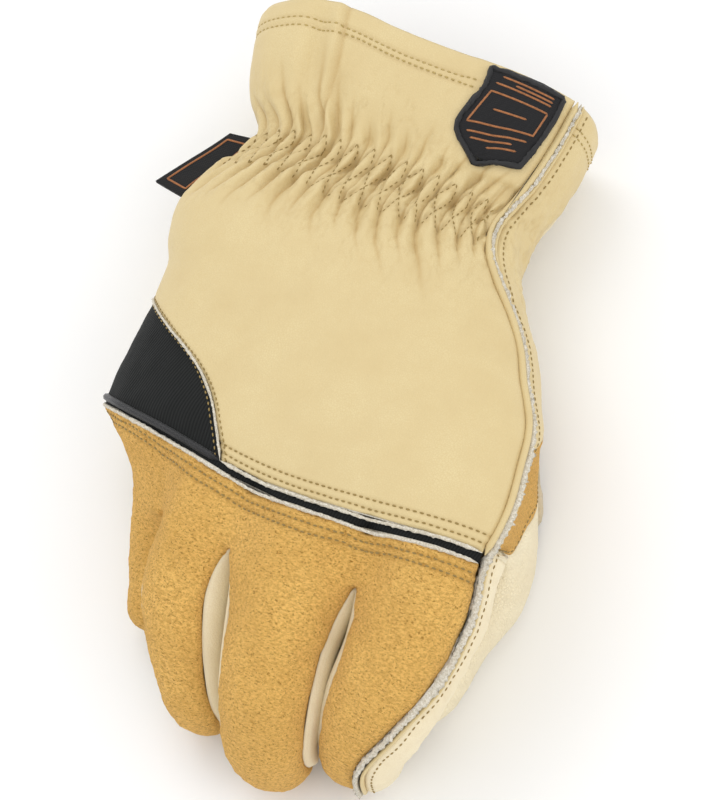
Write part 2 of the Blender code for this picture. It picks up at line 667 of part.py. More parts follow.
def build_fingers(skin):
    """Finger backs, finger palms and the three side strips between the fingers."""
    along = np.array(FINGER_STEPS)
    for finger in range(4):
        for palm, steps, piece in ((False, BACK_STEPS, "finger_back"), (True, PALM_STEPS, "palm_panel")):
            shares = np.linspace(0.0, 1.0, steps + 1)
            grid = finger_skin(finger, shares[None, :] + 0.0 * along[:, None],
                               along[:, None] + 0.0 * shares[None, :], palm)
            skin.add_grid(piece, grid, -1 if palm else 1)
    names = ("fourchette_index_middle", "fourchette_middle_ring", "fourchette_ring_pinky")
    shares = np.linspace(0.0, 1.0, SIDE_STEPS + 1)
    for gap, piece in enumerate(names):
        for far in (False, True):
            reached = along[along <= STRIP_CLOSING[1]]
            reached = np.append(reached, STRIP_CLOSING[1]) if reached[-1] < STRIP_CLOSING[1] else reached
            grid = side_skin(gap, far, shares[None, :] + 0.0 * reached[:, None],
                             reached[:, None] + 0.0 * shares[None, :])
            skin.add_grid(piece, grid, -1 if far else 1)


def build_welt(skin):
    """Raw-edge outseam from the hem down the hand and along the index finger to its tip."""
    lines = []
    for row in range(ROOT_ROW + 1):
        edge = np.zeros(1)
        lines.append((hand_point(edge, row, True)[0], hand_point(edge, row, False)[0]))
    for along in FINGER_STEPS[1:]:
        if along > WELT_CLOSING[1]:
            break
        where = np.array([along])
        lines.append((finger_skin(0, np.zeros(1), where, True)[0], finger_skin(0, np.zeros(1), where, False)[0]))
    grid = np.array([(palm, (palm + back) / 2.0, back) for palm, back in lines])
    skin.add_grid("outseam_welt", grid, 1)
    return {skin.vertex(point) for point in grid[1:-1, 1]}


def build_thumb(skin):
    """Thumb patch and thumb, from the opening in the palm to the tip."""
    upper = range(HOLE_TOP, STRIP_TOP + 1)
    patch = []
    for row in upper:
        patch.append(thumb_base_line(row, True, np.linspace(0.0, row_value("patch", row), PATCH_STEPS + 1)))
    skin.add_grid("thumb_patch", np.array(patch), -1)
    lines = []
    for row in reversed(upper):
        steps = np.linspace(row_value("patch", row), 1.0, THUMB_BASE_STEPS + 1)
        lines.append(thumb_base_line(row, True, steps))
    for row in upper[1:]:
        lines.append(thumb_base_line(row, False, np.linspace(0.0, 1.0, THUMB_BASE_STEPS + 1)))
    skin.add_grid("thumb_shell", np.array(lines), 1)
    angles = [row_value("upper_angle", row) for row in reversed(upper)]
    angles += [row_value("lower_angle", row) - 360.0 for row in upper[1:]]
    along = np.array(THUMB_STEPS)
    ring = [tube(THUMB_TABLE, np.full(along.shape, angle), along, THUMB_TIP_START) for angle in angles]
    skin.add_grid("thumb_shell", np.array(ring), 1)


def label_plate():
    """Pentagonal patch sewn on the cuff beside the outseam, with its upper edge along the hem."""
    table = np.array(LABEL)
    stations = np.linspace(0.0, 1.0, len(table))
    down = np.linspace(0.0, 1.0, LABEL_STEPS[0])
    edges = np.stack([np.interp(down, stations, table[:, k]) for k in range(4)], -1)
    lines = []
    for outer_share, outer_row, inner_share, inner_row in edges:
        across = np.linspace(0.0, 1.0, LABEL_STEPS[1])
        shares = outer_share + (inner_share - outer_share) * across
        rows = outer_row + (inner_row - outer_row) * across
        lines.append(body_skin(shares, rows, False))
    grid = np.array(lines)[::-1]
    return plate(grid, LABEL_LIFT, LABEL_THICKNESS, grid_directions(grid))


def tag_plate():
    """Folded woven tag standing out of the ulnar seam below the wrist."""
    table = scaled(TAG, (LENGTH, WIDTH, LENGTH))
    down = np.linspace(0.0, 1.0, TAG_STEPS + 1)[:, None]
    edges = table[0] + (table[1] - table[0]) * down
    inner = hand_section(edges[:, 0], np.full(len(edges), 180.0))
    inner[:, 0] -= TAG_GAP
    outer = np.stack([edges[:, 1], edges[:, 2], inner[:, 2]], -1)
    grid = np.stack([inner, (inner + outer) / 2.0, outer], 1)
    return plate(grid, -TAG_THICKNESS / 2.0, TAG_THICKNESS, grid_directions(grid))


def material(name, colour, roughness):
    """Principled material of one piece."""
    made = bpy.data.materials.new(name)
    made.use_nodes = True
    shader = made.node_tree.nodes["Principled BSDF"]
    shader.inputs["Base Color"].default_value = colour
    shader.inputs["Roughness"].default_value = roughness
    return made


def add_object(collection, name, vertices, faces, colour, roughness):
    """Object of one piece, with its own material."""
    mesh = bpy.data.meshes.new(name)
    mesh.from_pydata([Vector(vertex) for vertex in vertices], [], faces)
    mesh.materials.append(material(name, colour, roughness))
    made = bpy.data.objects.new(name, mesh)
    collection.objects.link(made)
    return made


def main():
    for old in list(bpy.data.objects):
        bpy.data.objects.remove(old, do_unlink=True)
    collection = bpy.data.collections.new("driver_glove")
    bpy.context.scene.collection.children.link(collection)

    skin = Skin()
    build_hand(skin)
    build_fingers(skin)
    crown = build_welt(skin)
    build_thumb(skin)
    normals = skin.normals()

    looks = {
        "back_panel": (0.0, WALL, INSET, GRAIN_LEATHER, 0.55),
        "wrist_side_panel": (0.0, WALL, INSET, GRAIN_LEATHER, 0.55),
        "palm_panel": (0.0, WALL, INSET, GRAIN_LEATHER, 0.60),
        "knuckle_insert": (-INSERT_SINK, WALL, INSET, STRETCH_FABRIC, 0.90),
        "knuckle_strip": (-STRIP_SINK, WALL, INSET, STRETCH_FABRIC, 0.85),
        "finger_back": (0.0, WALL, INSET, SUEDE_LEATHER, 0.95),
        "fourchette_index_middle": (0.0, SIDE_WALL, SIDE_INSET, GRAIN_LEATHER, 0.60),
        "fourchette_middle_ring": (0.0, SIDE_WALL, SIDE_INSET, GRAIN_LEATHER, 0.60),
        "fourchette_ring_pinky": (0.0, SIDE_WALL, LAST_SIDE_INSET, GRAIN_LEATHER, 0.60),
        "thumb_shell": (0.0, WALL, THUMB_INSET, GRAIN_LEATHER, 0.60),
        "thumb_patch": (-PATCH_SINK, WALL, INSET, SUEDE_LEATHER, 0.95),
        "outseam_welt": (WELT_RISE, WALL, INSET, RAW_EDGE, 0.95),
    }
    for name, (lift, wall, inset, colour, roughness) in looks.items():
        vertices, faces = shell(skin, normals, name, lift, wall, inset, crown)
        add_object(collection, name, vertices, faces, colour, roughness)
    add_object(collection, "label_patch", *label_plate(), WOVEN_LABEL, 0.80)
    add_object(collection, "side_tag", *tag_plate(), WOVEN_LABEL, 0.80)


main()
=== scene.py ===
"""Looks of an insulated leather driver glove: grain leather, suede, smocking, stitches and raw edges.

Metres, +Z up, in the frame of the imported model. Laid out as an add-on and run as a script.
"""
import json
import math

import bmesh
import bpy
import numpy as np
from mathutils import Matrix, Vector, kdtree, noise
from mathutils.bvhtree import BVHTree

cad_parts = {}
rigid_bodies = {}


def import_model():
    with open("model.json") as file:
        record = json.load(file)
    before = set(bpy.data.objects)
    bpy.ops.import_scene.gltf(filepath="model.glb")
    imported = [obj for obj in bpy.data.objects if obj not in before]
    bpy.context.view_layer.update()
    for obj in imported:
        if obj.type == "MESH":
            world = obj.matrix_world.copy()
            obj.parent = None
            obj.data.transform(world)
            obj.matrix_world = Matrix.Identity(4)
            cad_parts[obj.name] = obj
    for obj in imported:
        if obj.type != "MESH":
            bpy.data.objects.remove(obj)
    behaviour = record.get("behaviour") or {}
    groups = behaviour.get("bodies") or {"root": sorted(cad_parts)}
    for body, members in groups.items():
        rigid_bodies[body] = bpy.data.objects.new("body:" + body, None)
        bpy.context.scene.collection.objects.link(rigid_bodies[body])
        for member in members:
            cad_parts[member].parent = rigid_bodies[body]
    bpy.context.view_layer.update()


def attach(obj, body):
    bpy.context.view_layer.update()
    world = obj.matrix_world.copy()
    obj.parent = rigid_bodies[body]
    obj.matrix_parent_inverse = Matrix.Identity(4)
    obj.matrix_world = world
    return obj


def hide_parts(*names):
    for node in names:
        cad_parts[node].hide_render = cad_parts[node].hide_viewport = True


bl_info = {
    "name": "Leather driver glove",
    "version": (1, 0, 0),
    "blender": (4, 5, 0),
    "location": "View3D > Sidebar > Glove",
    "description": "Builds the leather, suede, stitching and trim of a work glove",
    "category": "Object",
}

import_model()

# Overall sizes of the glove as it lies
LENGTH = 0.232          # hem to fingertips
WIDTH = 0.143           # across the knuckles
HEIGHT = 0.060          # table to the back of the hand

# Seams
HEM_HALF = 3.2          # half of the welt's width on the hand, in degrees of the section
WELT_HALF = 6.0         # half of the welt's width on the index finger, in degrees of the section

# Hand sections from hem to finger roots: station (of LENGTH), left and right (of WIDTH), side (of HEIGHT),
# tilt (a slope), rise and drop (of HEIGHT), and skew (a slope)
SECTION_UNITS = (LENGTH, WIDTH, WIDTH, HEIGHT, 1.0, HEIGHT, HEIGHT, 1.0)
SECTIONS = (
    (0.375, -0.497, 0.303, 0.417, 0.00, 0.417, 0.430, -0.085),
    (0.313, -0.487, 0.296, 0.410, 0.00, 0.400, 0.425, -0.085),
    (0.252, -0.457, 0.278, 0.400, 0.00, 0.358, 0.400, -0.075),
    (0.209, -0.412, 0.258, 0.392, 0.00, 0.325, 0.375, -0.065),
    (0.174, -0.428, 0.252, 0.400, 0.01, 0.333, 0.385, -0.055),
    (0.135, -0.474, 0.265, 0.433, 0.03, 0.358, 0.440, -0.045),
    (0.087, -0.511, 0.307, 0.467, 0.05, 0.383, 0.500, -0.035),
    (0.035, -0.502, 0.366, 0.483, 0.07, 0.408, 0.535, -0.030),
    (-0.004, -0.477, 0.400, 0.500, 0.09, 0.417, 0.560, -0.020),
    (-0.043, -0.477, 0.428, 0.525, 0.11, 0.425, 0.565, -0.010),
    (-0.104, -0.488, 0.480, 0.550, 0.14, 0.433, 0.520, 0.000),
    (-0.174, -0.496, 0.508, 0.583, 0.17, 0.433, 0.430, 0.000),
    (-0.217, -0.488, 0.521, 0.608, 0.18, 0.425, 0.370, 0.000),
    (-0.252, -0.452, 0.520, 0.625, 0.18, 0.408, 0.333, 0.000),
    (-0.304, -0.390, 0.506, 0.642, 0.18, 0.375, 0.300, 0.000),
    (-0.391, -0.370, 0.493, 0.650, 0.18, 0.333, 0.267, 0.000),
)
BACK_SQUARENESS = 2.5
PALM_SQUARENESS = 2.6
ULNAR_ANGLE = 186.0     # where the ulnar seam runs, in degrees

# Where the outseam runs round the section, in degrees, by station
OUTSEAM = (
    (0.375, 26.0),
    (0.252, 31.0),
    (0.170, 36.0),
    (0.110, 30.0),
    (0.070, 25.0),
    (-0.043, 18.0),
    (-0.217, 17.0),
    (-0.391, 20.0),
)

# Station of the cuff hem on the back and on the palm, by share of the way from the outseam to the ulnar seam
HEM = (
    (0.00, 0.380, 0.380),
    (0.15, 0.378, 0.370),
    (0.30, 0.374, 0.360),
    (0.45, 0.375, 0.356),
    (0.58, 0.383, 0.354),
    (0.68, 0.383, 0.352),
    (0.80, 0.370, 0.350),
    (1.00, 0.350, 0.350),
)

# Even line that the rows of the hand follow down to the knuckles, before they bend to the finger roots, in
# the columns of the hem
ROOT_LINE = (
    (0.00, -0.372, -0.365),
    (0.25, -0.378, -0.360),
    (0.50, -0.368, -0.352),
    (0.76, -0.322, -0.318),
    (1.00, -0.276, -0.276),
)
ROOT_BEND = 0.90        # row where they begin to bend

# Finger rows from root to tip: centre, width and height of the section, and its roll in degrees
FINGER_UNITS = (WIDTH, LENGTH, HEIGHT, WIDTH, WIDTH, 1.0)
INDEX = (
    (0.383, -0.365, 0.733, 0.255, 0.221, 6.0),
    (0.370, -0.433, 0.667, 0.243, 0.210, 6.0),
    (0.346, -0.485, 0.550, 0.226, 0.200, 6.0),
    (0.318, -0.518, 0.375, 0.192, 0.186, 6.0),
    (0.292, -0.527, 0.020, 0.158, 0.140, 6.0),
)
MIDDLE = (
    (0.104, -0.374, 0.725, 0.243, 0.221, 8.0),
    (0.108, -0.450, 0.642, 0.230, 0.210, 8.0),
    (0.118, -0.518, 0.508, 0.211, 0.200, 8.0),
    (0.122, -0.555, 0.333, 0.190, 0.186, 8.0),
    (0.126, -0.557, 0.020, 0.160, 0.150, 8.0),
)
RING = (
    (-0.146, -0.348, 0.618, 0.205, 0.207, 8.0),
    (-0.130, -0.420, 0.552, 0.196, 0.200, 8.0),
    (-0.094, -0.480, 0.433, 0.170, 0.190, 8.0),
    (-0.062, -0.518, 0.275, 0.154, 0.176, 8.0),
    (-0.048, -0.517, 0.020, 0.132, 0.140, 8.0),
)
PINKY = (
    (-0.288, -0.287, 0.350, 0.148, 0.186, 8.0),
    (-0.278, -0.343, 0.225, 0.138, 0.160, 8.0),
    (-0.260, -0.387, 0.175, 0.135, 0.143, 8.0),
    (-0.242, -0.424, 0.155, 0.130, 0.132, 8.0),
    (-0.226, -0.455, 0.140, 0.122, 0.118, 8.0),
)
FINGERS = (INDEX, MIDDLE, RING, PINKY)
FINGER_SQUARENESS = 2.2
TIP_START = 0.80        # where a finger begins to round off, as a share of its length
TIP_POWER = 2.4         # how squarely it rounds off
TIP_CROWDING = 1.25     # how far the rows of a grid crowd toward the root
CROTCH_REACH = 0.34     # how far the finger walls bend to meet at the crotch
ROOT_REACH = 0.110      # of LENGTH: how far back the finger lobes fade into the hand

# Seam angles round each finger, in degrees, and where the side strip between them closes
FINGER_SEAM_COLUMNS = ("back_right", "back_left", "palm_left", "palm_right")
FINGER_SEAMS = (
    (20.0 + WELT_HALF, 152.0, 202.0, 20.0 - WELT_HALF),
    (14.0, 152.0, 202.0, -22.0),
    (42.0, 156.0, 212.0, -22.0),
    (34.0, 186.0, 186.0, -10.0),
)
STRIP_CLOSING = (0.66, 0.88)
WELT_CLIMB = 55.0       # degrees by which the outseam climbs over the back of the index finger
WELT_CLIMB_SPAN = (0.12, 0.72)
WELT_CLOSING = (0.78, 0.95)

# Share of the hand's girth that each finger takes at its root, back and palm
BACK_KNOTS = (0.0, 0.245, 0.505, 0.760, 1.0)
PALM_KNOTS = (0.0, 0.330, 0.560, 0.790, 1.0)

# Thumb rows from its first full ring to the tip, in the finger columns
THUMB = (
    (0.400, -0.287, 0.234, 0.206, 0.205, 0.0),
    (0.380, -0.348, 0.230, 0.180, 0.192, 0.0),
    (0.370, -0.404, 0.212, 0.168, 0.178, 0.0),
    (0.368, -0.440, 0.195, 0.160, 0.164, 0.0),
    (0.374, -0.472, 0.175, 0.150, 0.146, 0.0),
)
THUMB_TIP_START = 0.62
THUMB_PULL = 0.42       # how early the base lines turn along the thumb
UPPER_LEAVE = 0.28      # how far they first follow the hand, above and below
LOWER_LEAVE = 0.12

# Rows of the hand from hem to finger roots: how far down they lie at the outseam and at the ulnar seam,
# where the wrist side panel and the palm panel end on the thumb side, where the back panel ends on the
# ulnar side, the angle of the thumb's first ring that the two thumb base lines run to, and how much of
# the upper line the thumb patch covers.
ROW_COLUMNS = (
    "outseam", "ulnar", "side_panel", "palm_start", "back_end", "upper_angle", "lower_angle", "patch",
)
ROWS = (
    (0.000, 0.000, 0.160, 0.160, 1.000, 0.0, 0.0, 0.00),
    (0.040, 0.040, 0.160, 0.160, 1.000, 0.0, 0.0, 0.00),
    (0.105, 0.105, 0.162, 0.162, 1.000, 0.0, 0.0, 0.00),
    (0.170, 0.170, 0.166, 0.166, 1.000, 0.0, 0.0, 0.00),
    (0.235, 0.235, 0.170, 0.170, 1.000, 0.0, 0.0, 0.00),
    (0.300, 0.300, 0.176, 0.176, 1.000, 0.0, 0.0, 0.00),
    (0.360, 0.360, 0.184, 0.184, 1.000, 0.0, 0.0, 0.00),
    (0.420, 0.420, 0.192, 0.192, 1.000, -50.0, 310.0, 0.00),
    (0.480, 0.480, 0.170, 0.280, 1.000, -34.0, 276.0, 0.00),
    (0.540, 0.540, 0.135, 0.330, 1.000, -18.0, 248.0, 0.25),
    (0.600, 0.600, 0.095, 0.355, 1.000, -2.0, 222.0, 0.42),
    (0.650, 0.645, 0.050, 0.362, 0.870, 14.0, 197.0, 0.52),
    (0.700, 0.685, 0.000, 0.356, 0.765, 28.0, 172.0, 0.57),
    (0.745, 0.720, 0.000, 0.338, 0.670, 35.0, 148.0, 0.58),
    (0.792, 0.760, 0.000, 0.308, 0.615, 40.0, 124.0, 0.58),
    (0.832, 0.795, 0.000, 0.265, 0.598, 44.0, 102.0, 0.57),
    (0.856, 0.815, 0.000, 0.205, 0.594, 46.0, 82.0, 0.55),
    (0.872, 0.828, 0.000, 0.135, 0.592, 48.0, 67.0, 0.50),
    (0.883, 0.838, 0.000, 0.065, 0.591, 50.0, 58.0, 0.38),
    (0.891, 0.845, 0.000, 0.000, 0.590, 53.0, 53.0, 0.00),
    (0.909, 0.864, 0.000, 0.000, 0.590, 0.0, 0.0, 0.00),
    (0.939, 0.909, 0.000, 0.000, 0.590, 0.0, 0.0, 0.00),
    (0.969, 0.954, 0.000, 0.000, 0.590, 0.0, 0.0, 0.00),
    (1.000, 1.000, 0.000, 0.000, 0.590, 0.0, 0.0, 0.00),
)
ROW_BREAKS = {
    "side_panel": (0, 7, 12),
    "palm_start": (0, 7, 19),
    "back_end": (10, 19),
    "upper_angle": (7, 19),
    "lower_angle": (7, 19),
    "patch": (8, 19),
}
ROW_BEND = 4            # the rows keep level with the outseam and turn only near the ulnar seam
HOLE_TOP = 7            # first row of the thumb's opening
TONGUE_TIP = 12         # last row of the wrist side panel
INSERT_TOP = 10         # row where the knuckle insert begins at the ulnar seam
WEB_ROW = 15            # below this row the palm ends on the side of the hand
STRIP_TOP = 19          # rows above and below the black strip
STRIP_BOTTOM = 20
ROOT_ROW = 23           # row of the finger roots

# Folds of the back panel: share of the girth, first and last station, half width (of WIDTH), depth (of
# HEIGHT)
FOLDS = (
    (0.67, 0.420, 0.150, 0.035, 0.050),
    (0.58, 0.300, 0.080, 0.026, 0.022),
    (0.47, 0.290, 0.070, 0.026, 0.024),
    (0.36, 0.280, 0.070, 0.026, 0.022),
    (0.25, 0.270, 0.080, 0.026, 0.024),
    (0.14, 0.330, 0.130, 0.030, 0.030),
    (0.82, 0.270, 0.060, 0.028, 0.026),
)

# Label patch on the cuff: share of the girth and level of its outer edge, then of its inner edge
LABEL = (
    (0.022, 0.006, 0.225, 0.006),
    (0.020, 0.045, 0.217, 0.045),
    (0.022, 0.100, 0.252, 0.130),
    (0.040, 0.160, 0.150, 0.184),
)

# Side tag: a folded woven loop standing out of the ulnar seam. Station of each end along the seam, and x and
# y of its outer corner, as shares of LENGTH and WIDTH
TAG = (
    (0.203, -0.482, 0.215),
    (0.095, -0.594, 0.118),
)
TAG_ANGLE = 180.0       # where the tag leaves the section, in degrees


def scaled(table, units):
    """Turn a table of shares into metres."""
    return np.array(table) * np.array(units)


def smooth(value):
    """Ease a share from 0 to 1."""
    value = np.clip(value, 0.0, 1.0)
    return value * value * (3.0 - 2.0 * value)


def curve_through(where, stations, rows):
    """Smooth curve through the rows of a table whose stations rise."""
    steps = np.diff(stations)
    slopes = np.diff(rows, axis=0) / steps[:, None]
    tangents = np.empty_like(rows)
    tangents[1:-1] = (slopes[:-1] * steps[1:, None] + slopes[1:] * steps[:-1, None])
    tangents[1:-1] /= (steps[1:] + steps[:-1])[:, None]
    tangents[0] = slopes[0]
    tangents[-1] = slopes[-1]
    where = np.clip(where, stations[0], stations[-1])
    index = np.clip(np.searchsorted(stations, where, side="right") - 1, 0, len(stations) - 2)
    step = (stations[index + 1] - stations[index])[..., None]
    t = (where - stations[index])[..., None] / step
    first = (2 * t**3 - 3 * t**2 + 1) * rows[index] + (t**3 - 2 * t**2 + t) * step * tangents[index]
    second = (3 * t**2 - 2 * t**3) * rows[index + 1] + (t**3 - t**2) * step * tangents[index + 1]
    return first + second


SECTION_TABLE = scaled(SECTIONS, SECTION_UNITS)
OUTSEAM_TABLE = scaled(OUTSEAM, (LENGTH, 1.0))
HEM_TABLE = scaled(HEM, (1.0, LENGTH, LENGTH))
ROOT_LINE_TABLE = scaled(ROOT_LINE, (1.0, LENGTH, LENGTH))
FOLD_TABLE = scaled(FOLDS, (1.0, LENGTH, LENGTH, WIDTH, HEIGHT))
FINGER_TABLES = [scaled(rows, FINGER_UNITS) for rows in FINGERS]
THUMB_TABLE = scaled(THUMB, FINGER_UNITS)
ARC_SAMPLES = 97


def oval(angle, squareness):
    """Unit point of a squared oval."""
    c = np.cos(np.radians(angle))
    s = np.sin(np.radians(angle))
    power = 2.0 / squareness
    return np.sign(c) * np.abs(c) ** power, np.sign(s) * np.abs(s) ** power


def hand_section(station, angle):
    """Point of the hand's outer skin on one section."""
    values = curve_through(-station, -SECTION_TABLE[:, 0], SECTION_TABLE[:, 1:])
    left, right, side, tilt, rise, drop, skew = np.moveaxis(values, -1, 0)
    upper = np.sin(np.radians(angle)) >= 0.0
    across, up = oval(angle, np.where(upper, BACK_SQUARENESS, PALM_SQUARENESS))
    offset = (right - left) / 2.0 * across
    height = side + tilt * offset + np.where(upper, rise, drop) * up
    return np.stack([(right + left) / 2.0 + offset, station + skew * offset, height], -1)


def girth_angles(palm):
    """Section angle for every station and share of the girth, from the outseam to the ulnar seam."""
    seam = curve_through(-GIRTH_STATIONS, -OUTSEAM_TABLE[:, 0], OUTSEAM_TABLE[:, 1:])[..., 0]
    start = seam - HEM_HALF if palm else seam + HEM_HALF
    end = ULNAR_ANGLE - 360.0 if palm else ULNAR_ANGLE
    steps = np.linspace(0.0, 1.0, ARC_SAMPLES)
    angles = start[:, None] + (end - start)[:, None] * steps
    points = hand_section(np.broadcast_to(GIRTH_STATIONS[:, None], angles.shape), angles)
    lengths = np.linalg.norm(np.diff(points, axis=1), axis=-1)
    reached = np.concatenate([np.zeros((len(angles), 1)), np.cumsum(lengths, 1)], 1)
    reached /= reached[:, -1:]
    return np.array([np.interp(GIRTH_SHARES, line, row) for line, row in zip(reached, angles)])


GIRTH_STATIONS = np.linspace(SECTION_TABLE[-1, 0], SECTION_TABLE[0, 0], 240)
GIRTH_SHARES = np.linspace(0.0, 1.0, 121)
ANGLE_TABLES = (girth_angles(False), girth_angles(True))


def hand_skin(share, station, palm):
    """Point of the hand's outer skin by share of the girth from the outseam to the ulnar seam."""
    table = ANGLE_TABLES[1 if palm else 0]
    down = (station - GIRTH_STATIONS[0]) / (GIRTH_STATIONS[1] - GIRTH_STATIONS[0])
    down = np.clip(down, 0.0, len(GIRTH_STATIONS) - 1.001)
    across = np.clip(share * (len(GIRTH_SHARES) - 1), 0.0, len(GIRTH_SHARES) - 1.001)
    i = down.astype(int)
    j = across.astype(int)
    a = down - i
    b = across - j
    upper = table[i, j] * (1.0 - b) + table[i, j + 1] * b
    lower = table[i + 1, j] * (1.0 - b) + table[i + 1, j + 1] * b
    return hand_section(station, upper * (1.0 - a) + lower * a)


def tube(rows, angle, along, tip_start=TIP_START):
    """Point of a finger's tube: angle round its section, share along its centre line."""
    lengths = np.linalg.norm(np.diff(rows[:, :3], axis=0), axis=1)
    stations = np.concatenate([[0.0], np.cumsum(lengths)])
    stations /= stations[-1]
    values = curve_through(along, stations, rows)
    nudge = 1e-3
    ahead = curve_through(along + nudge, stations, rows)[..., :3]
    behind = curve_through(along - nudge, stations, rows)[..., :3]
    direction = ahead - behind
    direction /= np.linalg.norm(direction, axis=-1, keepdims=True)
    roll = np.radians(values[..., 5])
    sideways = np.stack([np.cos(roll), np.zeros_like(roll), np.sin(roll)], -1)
    sideways = sideways - (sideways * direction).sum(-1, keepdims=True) * direction
    sideways /= np.linalg.norm(sideways, axis=-1, keepdims=True)
    upward = np.cross(direction, sideways)
    rounding = np.clip((along - tip_start) / (1.0 - tip_start), 0.0, 1.0)
    shrink = (1.0 - rounding**TIP_POWER) ** (1.0 / TIP_POWER)
    across, up = oval(angle, FINGER_SQUARENESS)
    return (values[..., :3] + sideways * (values[..., 3] / 2.0 * shrink * across)[..., None]
            + upward * (values[..., 4] / 2.0 * shrink * up)[..., None])


def closing(along, span):
    """Width left of a side strip that closes in a point."""
    share = np.clip((along - span[0]) / (span[1] - span[0]), 0.0, 1.0)
    return np.sqrt(1.0 - share**2)


def seam_angle(finger, name, along):
    """Angle of one of a finger's seams at a share of its length."""
    seams = FINGER_SEAMS[finger]
    angle = seams[FINGER_SEAM_COLUMNS.index(name)]
    right = name.endswith("right")
    pair = ("back_right", "palm_right") if right else ("back_left", "palm_left")
    middle = sum(seams[FINGER_SEAM_COLUMNS.index(each)] for each in pair) / 2.0
    if finger == 0 and right:
        start, end = WELT_CLIMB_SPAN
        climb = WELT_CLIMB * smooth((along - start) / (end - start))
        return middle + climb + (angle - middle) * closing(along, WELT_CLOSING)
    return middle + (angle - middle) * closing(along, STRIP_CLOSING)


def crotch_corner(gap, palm):
    """Where two neighbouring fingers and the hand meet, on the back or the palm."""
    side = "palm" if palm else "back"
    start = np.zeros(1)
    left = tube(FINGER_TABLES[gap], seam_angle(gap, side + "_left", start), start)[0]
    right = tube(FINGER_TABLES[gap + 1], seam_angle(gap + 1, side + "_right", start), start)[0]
    return (left + right) / 2.0


def crotch_fade(along):
    """How strongly a finger wall is drawn to the crotch."""
    share = np.clip(along / CROTCH_REACH, 0.0, 1.0)
    return (1.0 - share) ** 2


def finger_skin(finger, share, along, palm):
    """Point on the back or the palm of a finger: share of the arc from its right to its left seam."""
    side = "palm" if palm else "back"
    turn = 360.0 if palm else 0.0
    right = seam_angle(finger, side + "_right", along)
    left = seam_angle(finger, side + "_left", along) - turn
    points = tube(FINGER_TABLES[finger], right + (left - right) * share, along)
    fade = crotch_fade(along)
    start = np.zeros(1)
    if finger < 3:
        own = tube(FINGER_TABLES[finger], seam_angle(finger, side + "_left", start), start)[0]
        pull = crotch_corner(finger, palm) - own
        points = points + (fade * smooth(2.0 * share - 1.0))[..., None] * pull
    if finger > 0:
        own = tube(FINGER_TABLES[finger], seam_angle(finger, side + "_right", start), start)[0]
        pull = crotch_corner(finger - 1, palm) - own
        points = points + (fade * smooth(1.0 - 2.0 * share))[..., None] * pull
    return points


def side_skin(gap, far, share, along):
    """Point of a side strip on the nearer or the farther finger: share from its back to its palm edge."""
    finger = gap + 1 if far else gap
    end = "_right" if far else "_left"
    back = seam_angle(finger, "back" + end, along)
    palm = seam_angle(finger, "palm" + end, along)
    points = tube(FINGER_TABLES[finger], back + (palm - back) * share, along)
    edge = np.zeros_like(along) if far else np.ones_like(along)
    back_edge = finger_skin(finger, edge, along, False)
    palm_edge = finger_skin(finger, edge, along, True)
    back_miss = back_edge - tube(FINGER_TABLES[finger], back, along)
    palm_miss = palm_edge - tube(FINGER_TABLES[finger], palm, along)
    share = share[..., None]
    fade = crotch_fade(along)[..., None]
    points = points + (1.0 - share) * back_miss + share * palm_miss
    straight = (1.0 - share) * back_edge + share * palm_edge
    return points * (1.0 - fade) + straight * fade


def finger_roots(share, palm):
    """Root line of the fingers, and the direction they leave it in."""
    knots = np.array(PALM_KNOTS if palm else BACK_KNOTS)
    which = np.clip(np.searchsorted(knots, share, side="right") - 1, 0, 3)
    points = np.zeros(share.shape + (3,))
    for finger in range(4):
        mask = which == finger
        part = (share[mask] - knots[finger]) / (knots[finger + 1] - knots[finger])
        points[mask] = finger_skin(finger, part, np.zeros(part.shape), palm)
    middles = (knots[:-1] + knots[1:]) / 2.0
    leaves = np.array([table[1, :3] - table[0, :3] for table in FINGER_TABLES])
    leaves /= np.linalg.norm(leaves, axis=1, keepdims=True)
    direction = np.stack([np.interp(share, middles, leaves[:, axis]) for axis in range(3)], -1)
    return points, direction


def fold_depth(share, station):
    """Depth of the cuff's fold and the gathers in the back panel."""
    depth = np.zeros(share.shape)
    for middle, first, last, half_width, deep in FOLD_TABLE:
        across = (share - middle) * WIDTH / half_width
        along = smooth((first - station) / (0.1 * LENGTH)) * smooth((station - last) / (0.08 * LENGTH))
        depth += deep * np.exp(-across**2) * along
    return depth


def body_skin(share, row, palm):
    """Point of the hand: share of the girth from the outseam, level from the hem (0) to the roots (1)."""
    share, row = np.broadcast_arrays(np.asarray(share, float), np.asarray(row, float))
    roots, direction = finger_roots(share, palm)
    hem = curve_through(share, HEM_TABLE[:, 0], HEM_TABLE[:, 1:])[..., 1 if palm else 0]
    line = curve_through(share, ROOT_LINE_TABLE[:, 0], ROOT_LINE_TABLE[:, 1:])[..., 1 if palm else 0]
    bend = smooth((row - ROOT_BEND) / (1.0 - ROOT_BEND))
    station = hem + (line - hem) * row + (roots[..., 1] - line) * bend
    hand = hand_skin(share, station, palm)
    if not palm:
        hand[..., 2] -= fold_depth(share, station)
    behind = station - roots[..., 1]
    lobes = roots + direction * (behind / direction[..., 1])[..., None]
    reach = ROOT_REACH * LENGTH
    weight = smooth((reach - behind) / reach)[..., None]
    points = hand * (1.0 - weight) + lobes * weight
    return points


def row_value(name, row):
    """Entry of the row table, also between its rows."""
    breaks = ROW_BREAKS.get(name, (0, ROOT_ROW))
    entries = np.array(ROWS)[:, ROW_COLUMNS.index(name)]
    row = np.clip(np.asarray(row, float), breaks[0], breaks[-1])
    value = np.zeros(row.shape)
    for first, last in zip(breaks, breaks[1:]):
        inside = (row >= first) & (row <= last)
        stations = np.arange(first, last + 1.0)
        value[inside] = curve_through(row[inside], stations, entries[first:last + 1, None])[..., 0]
    return value


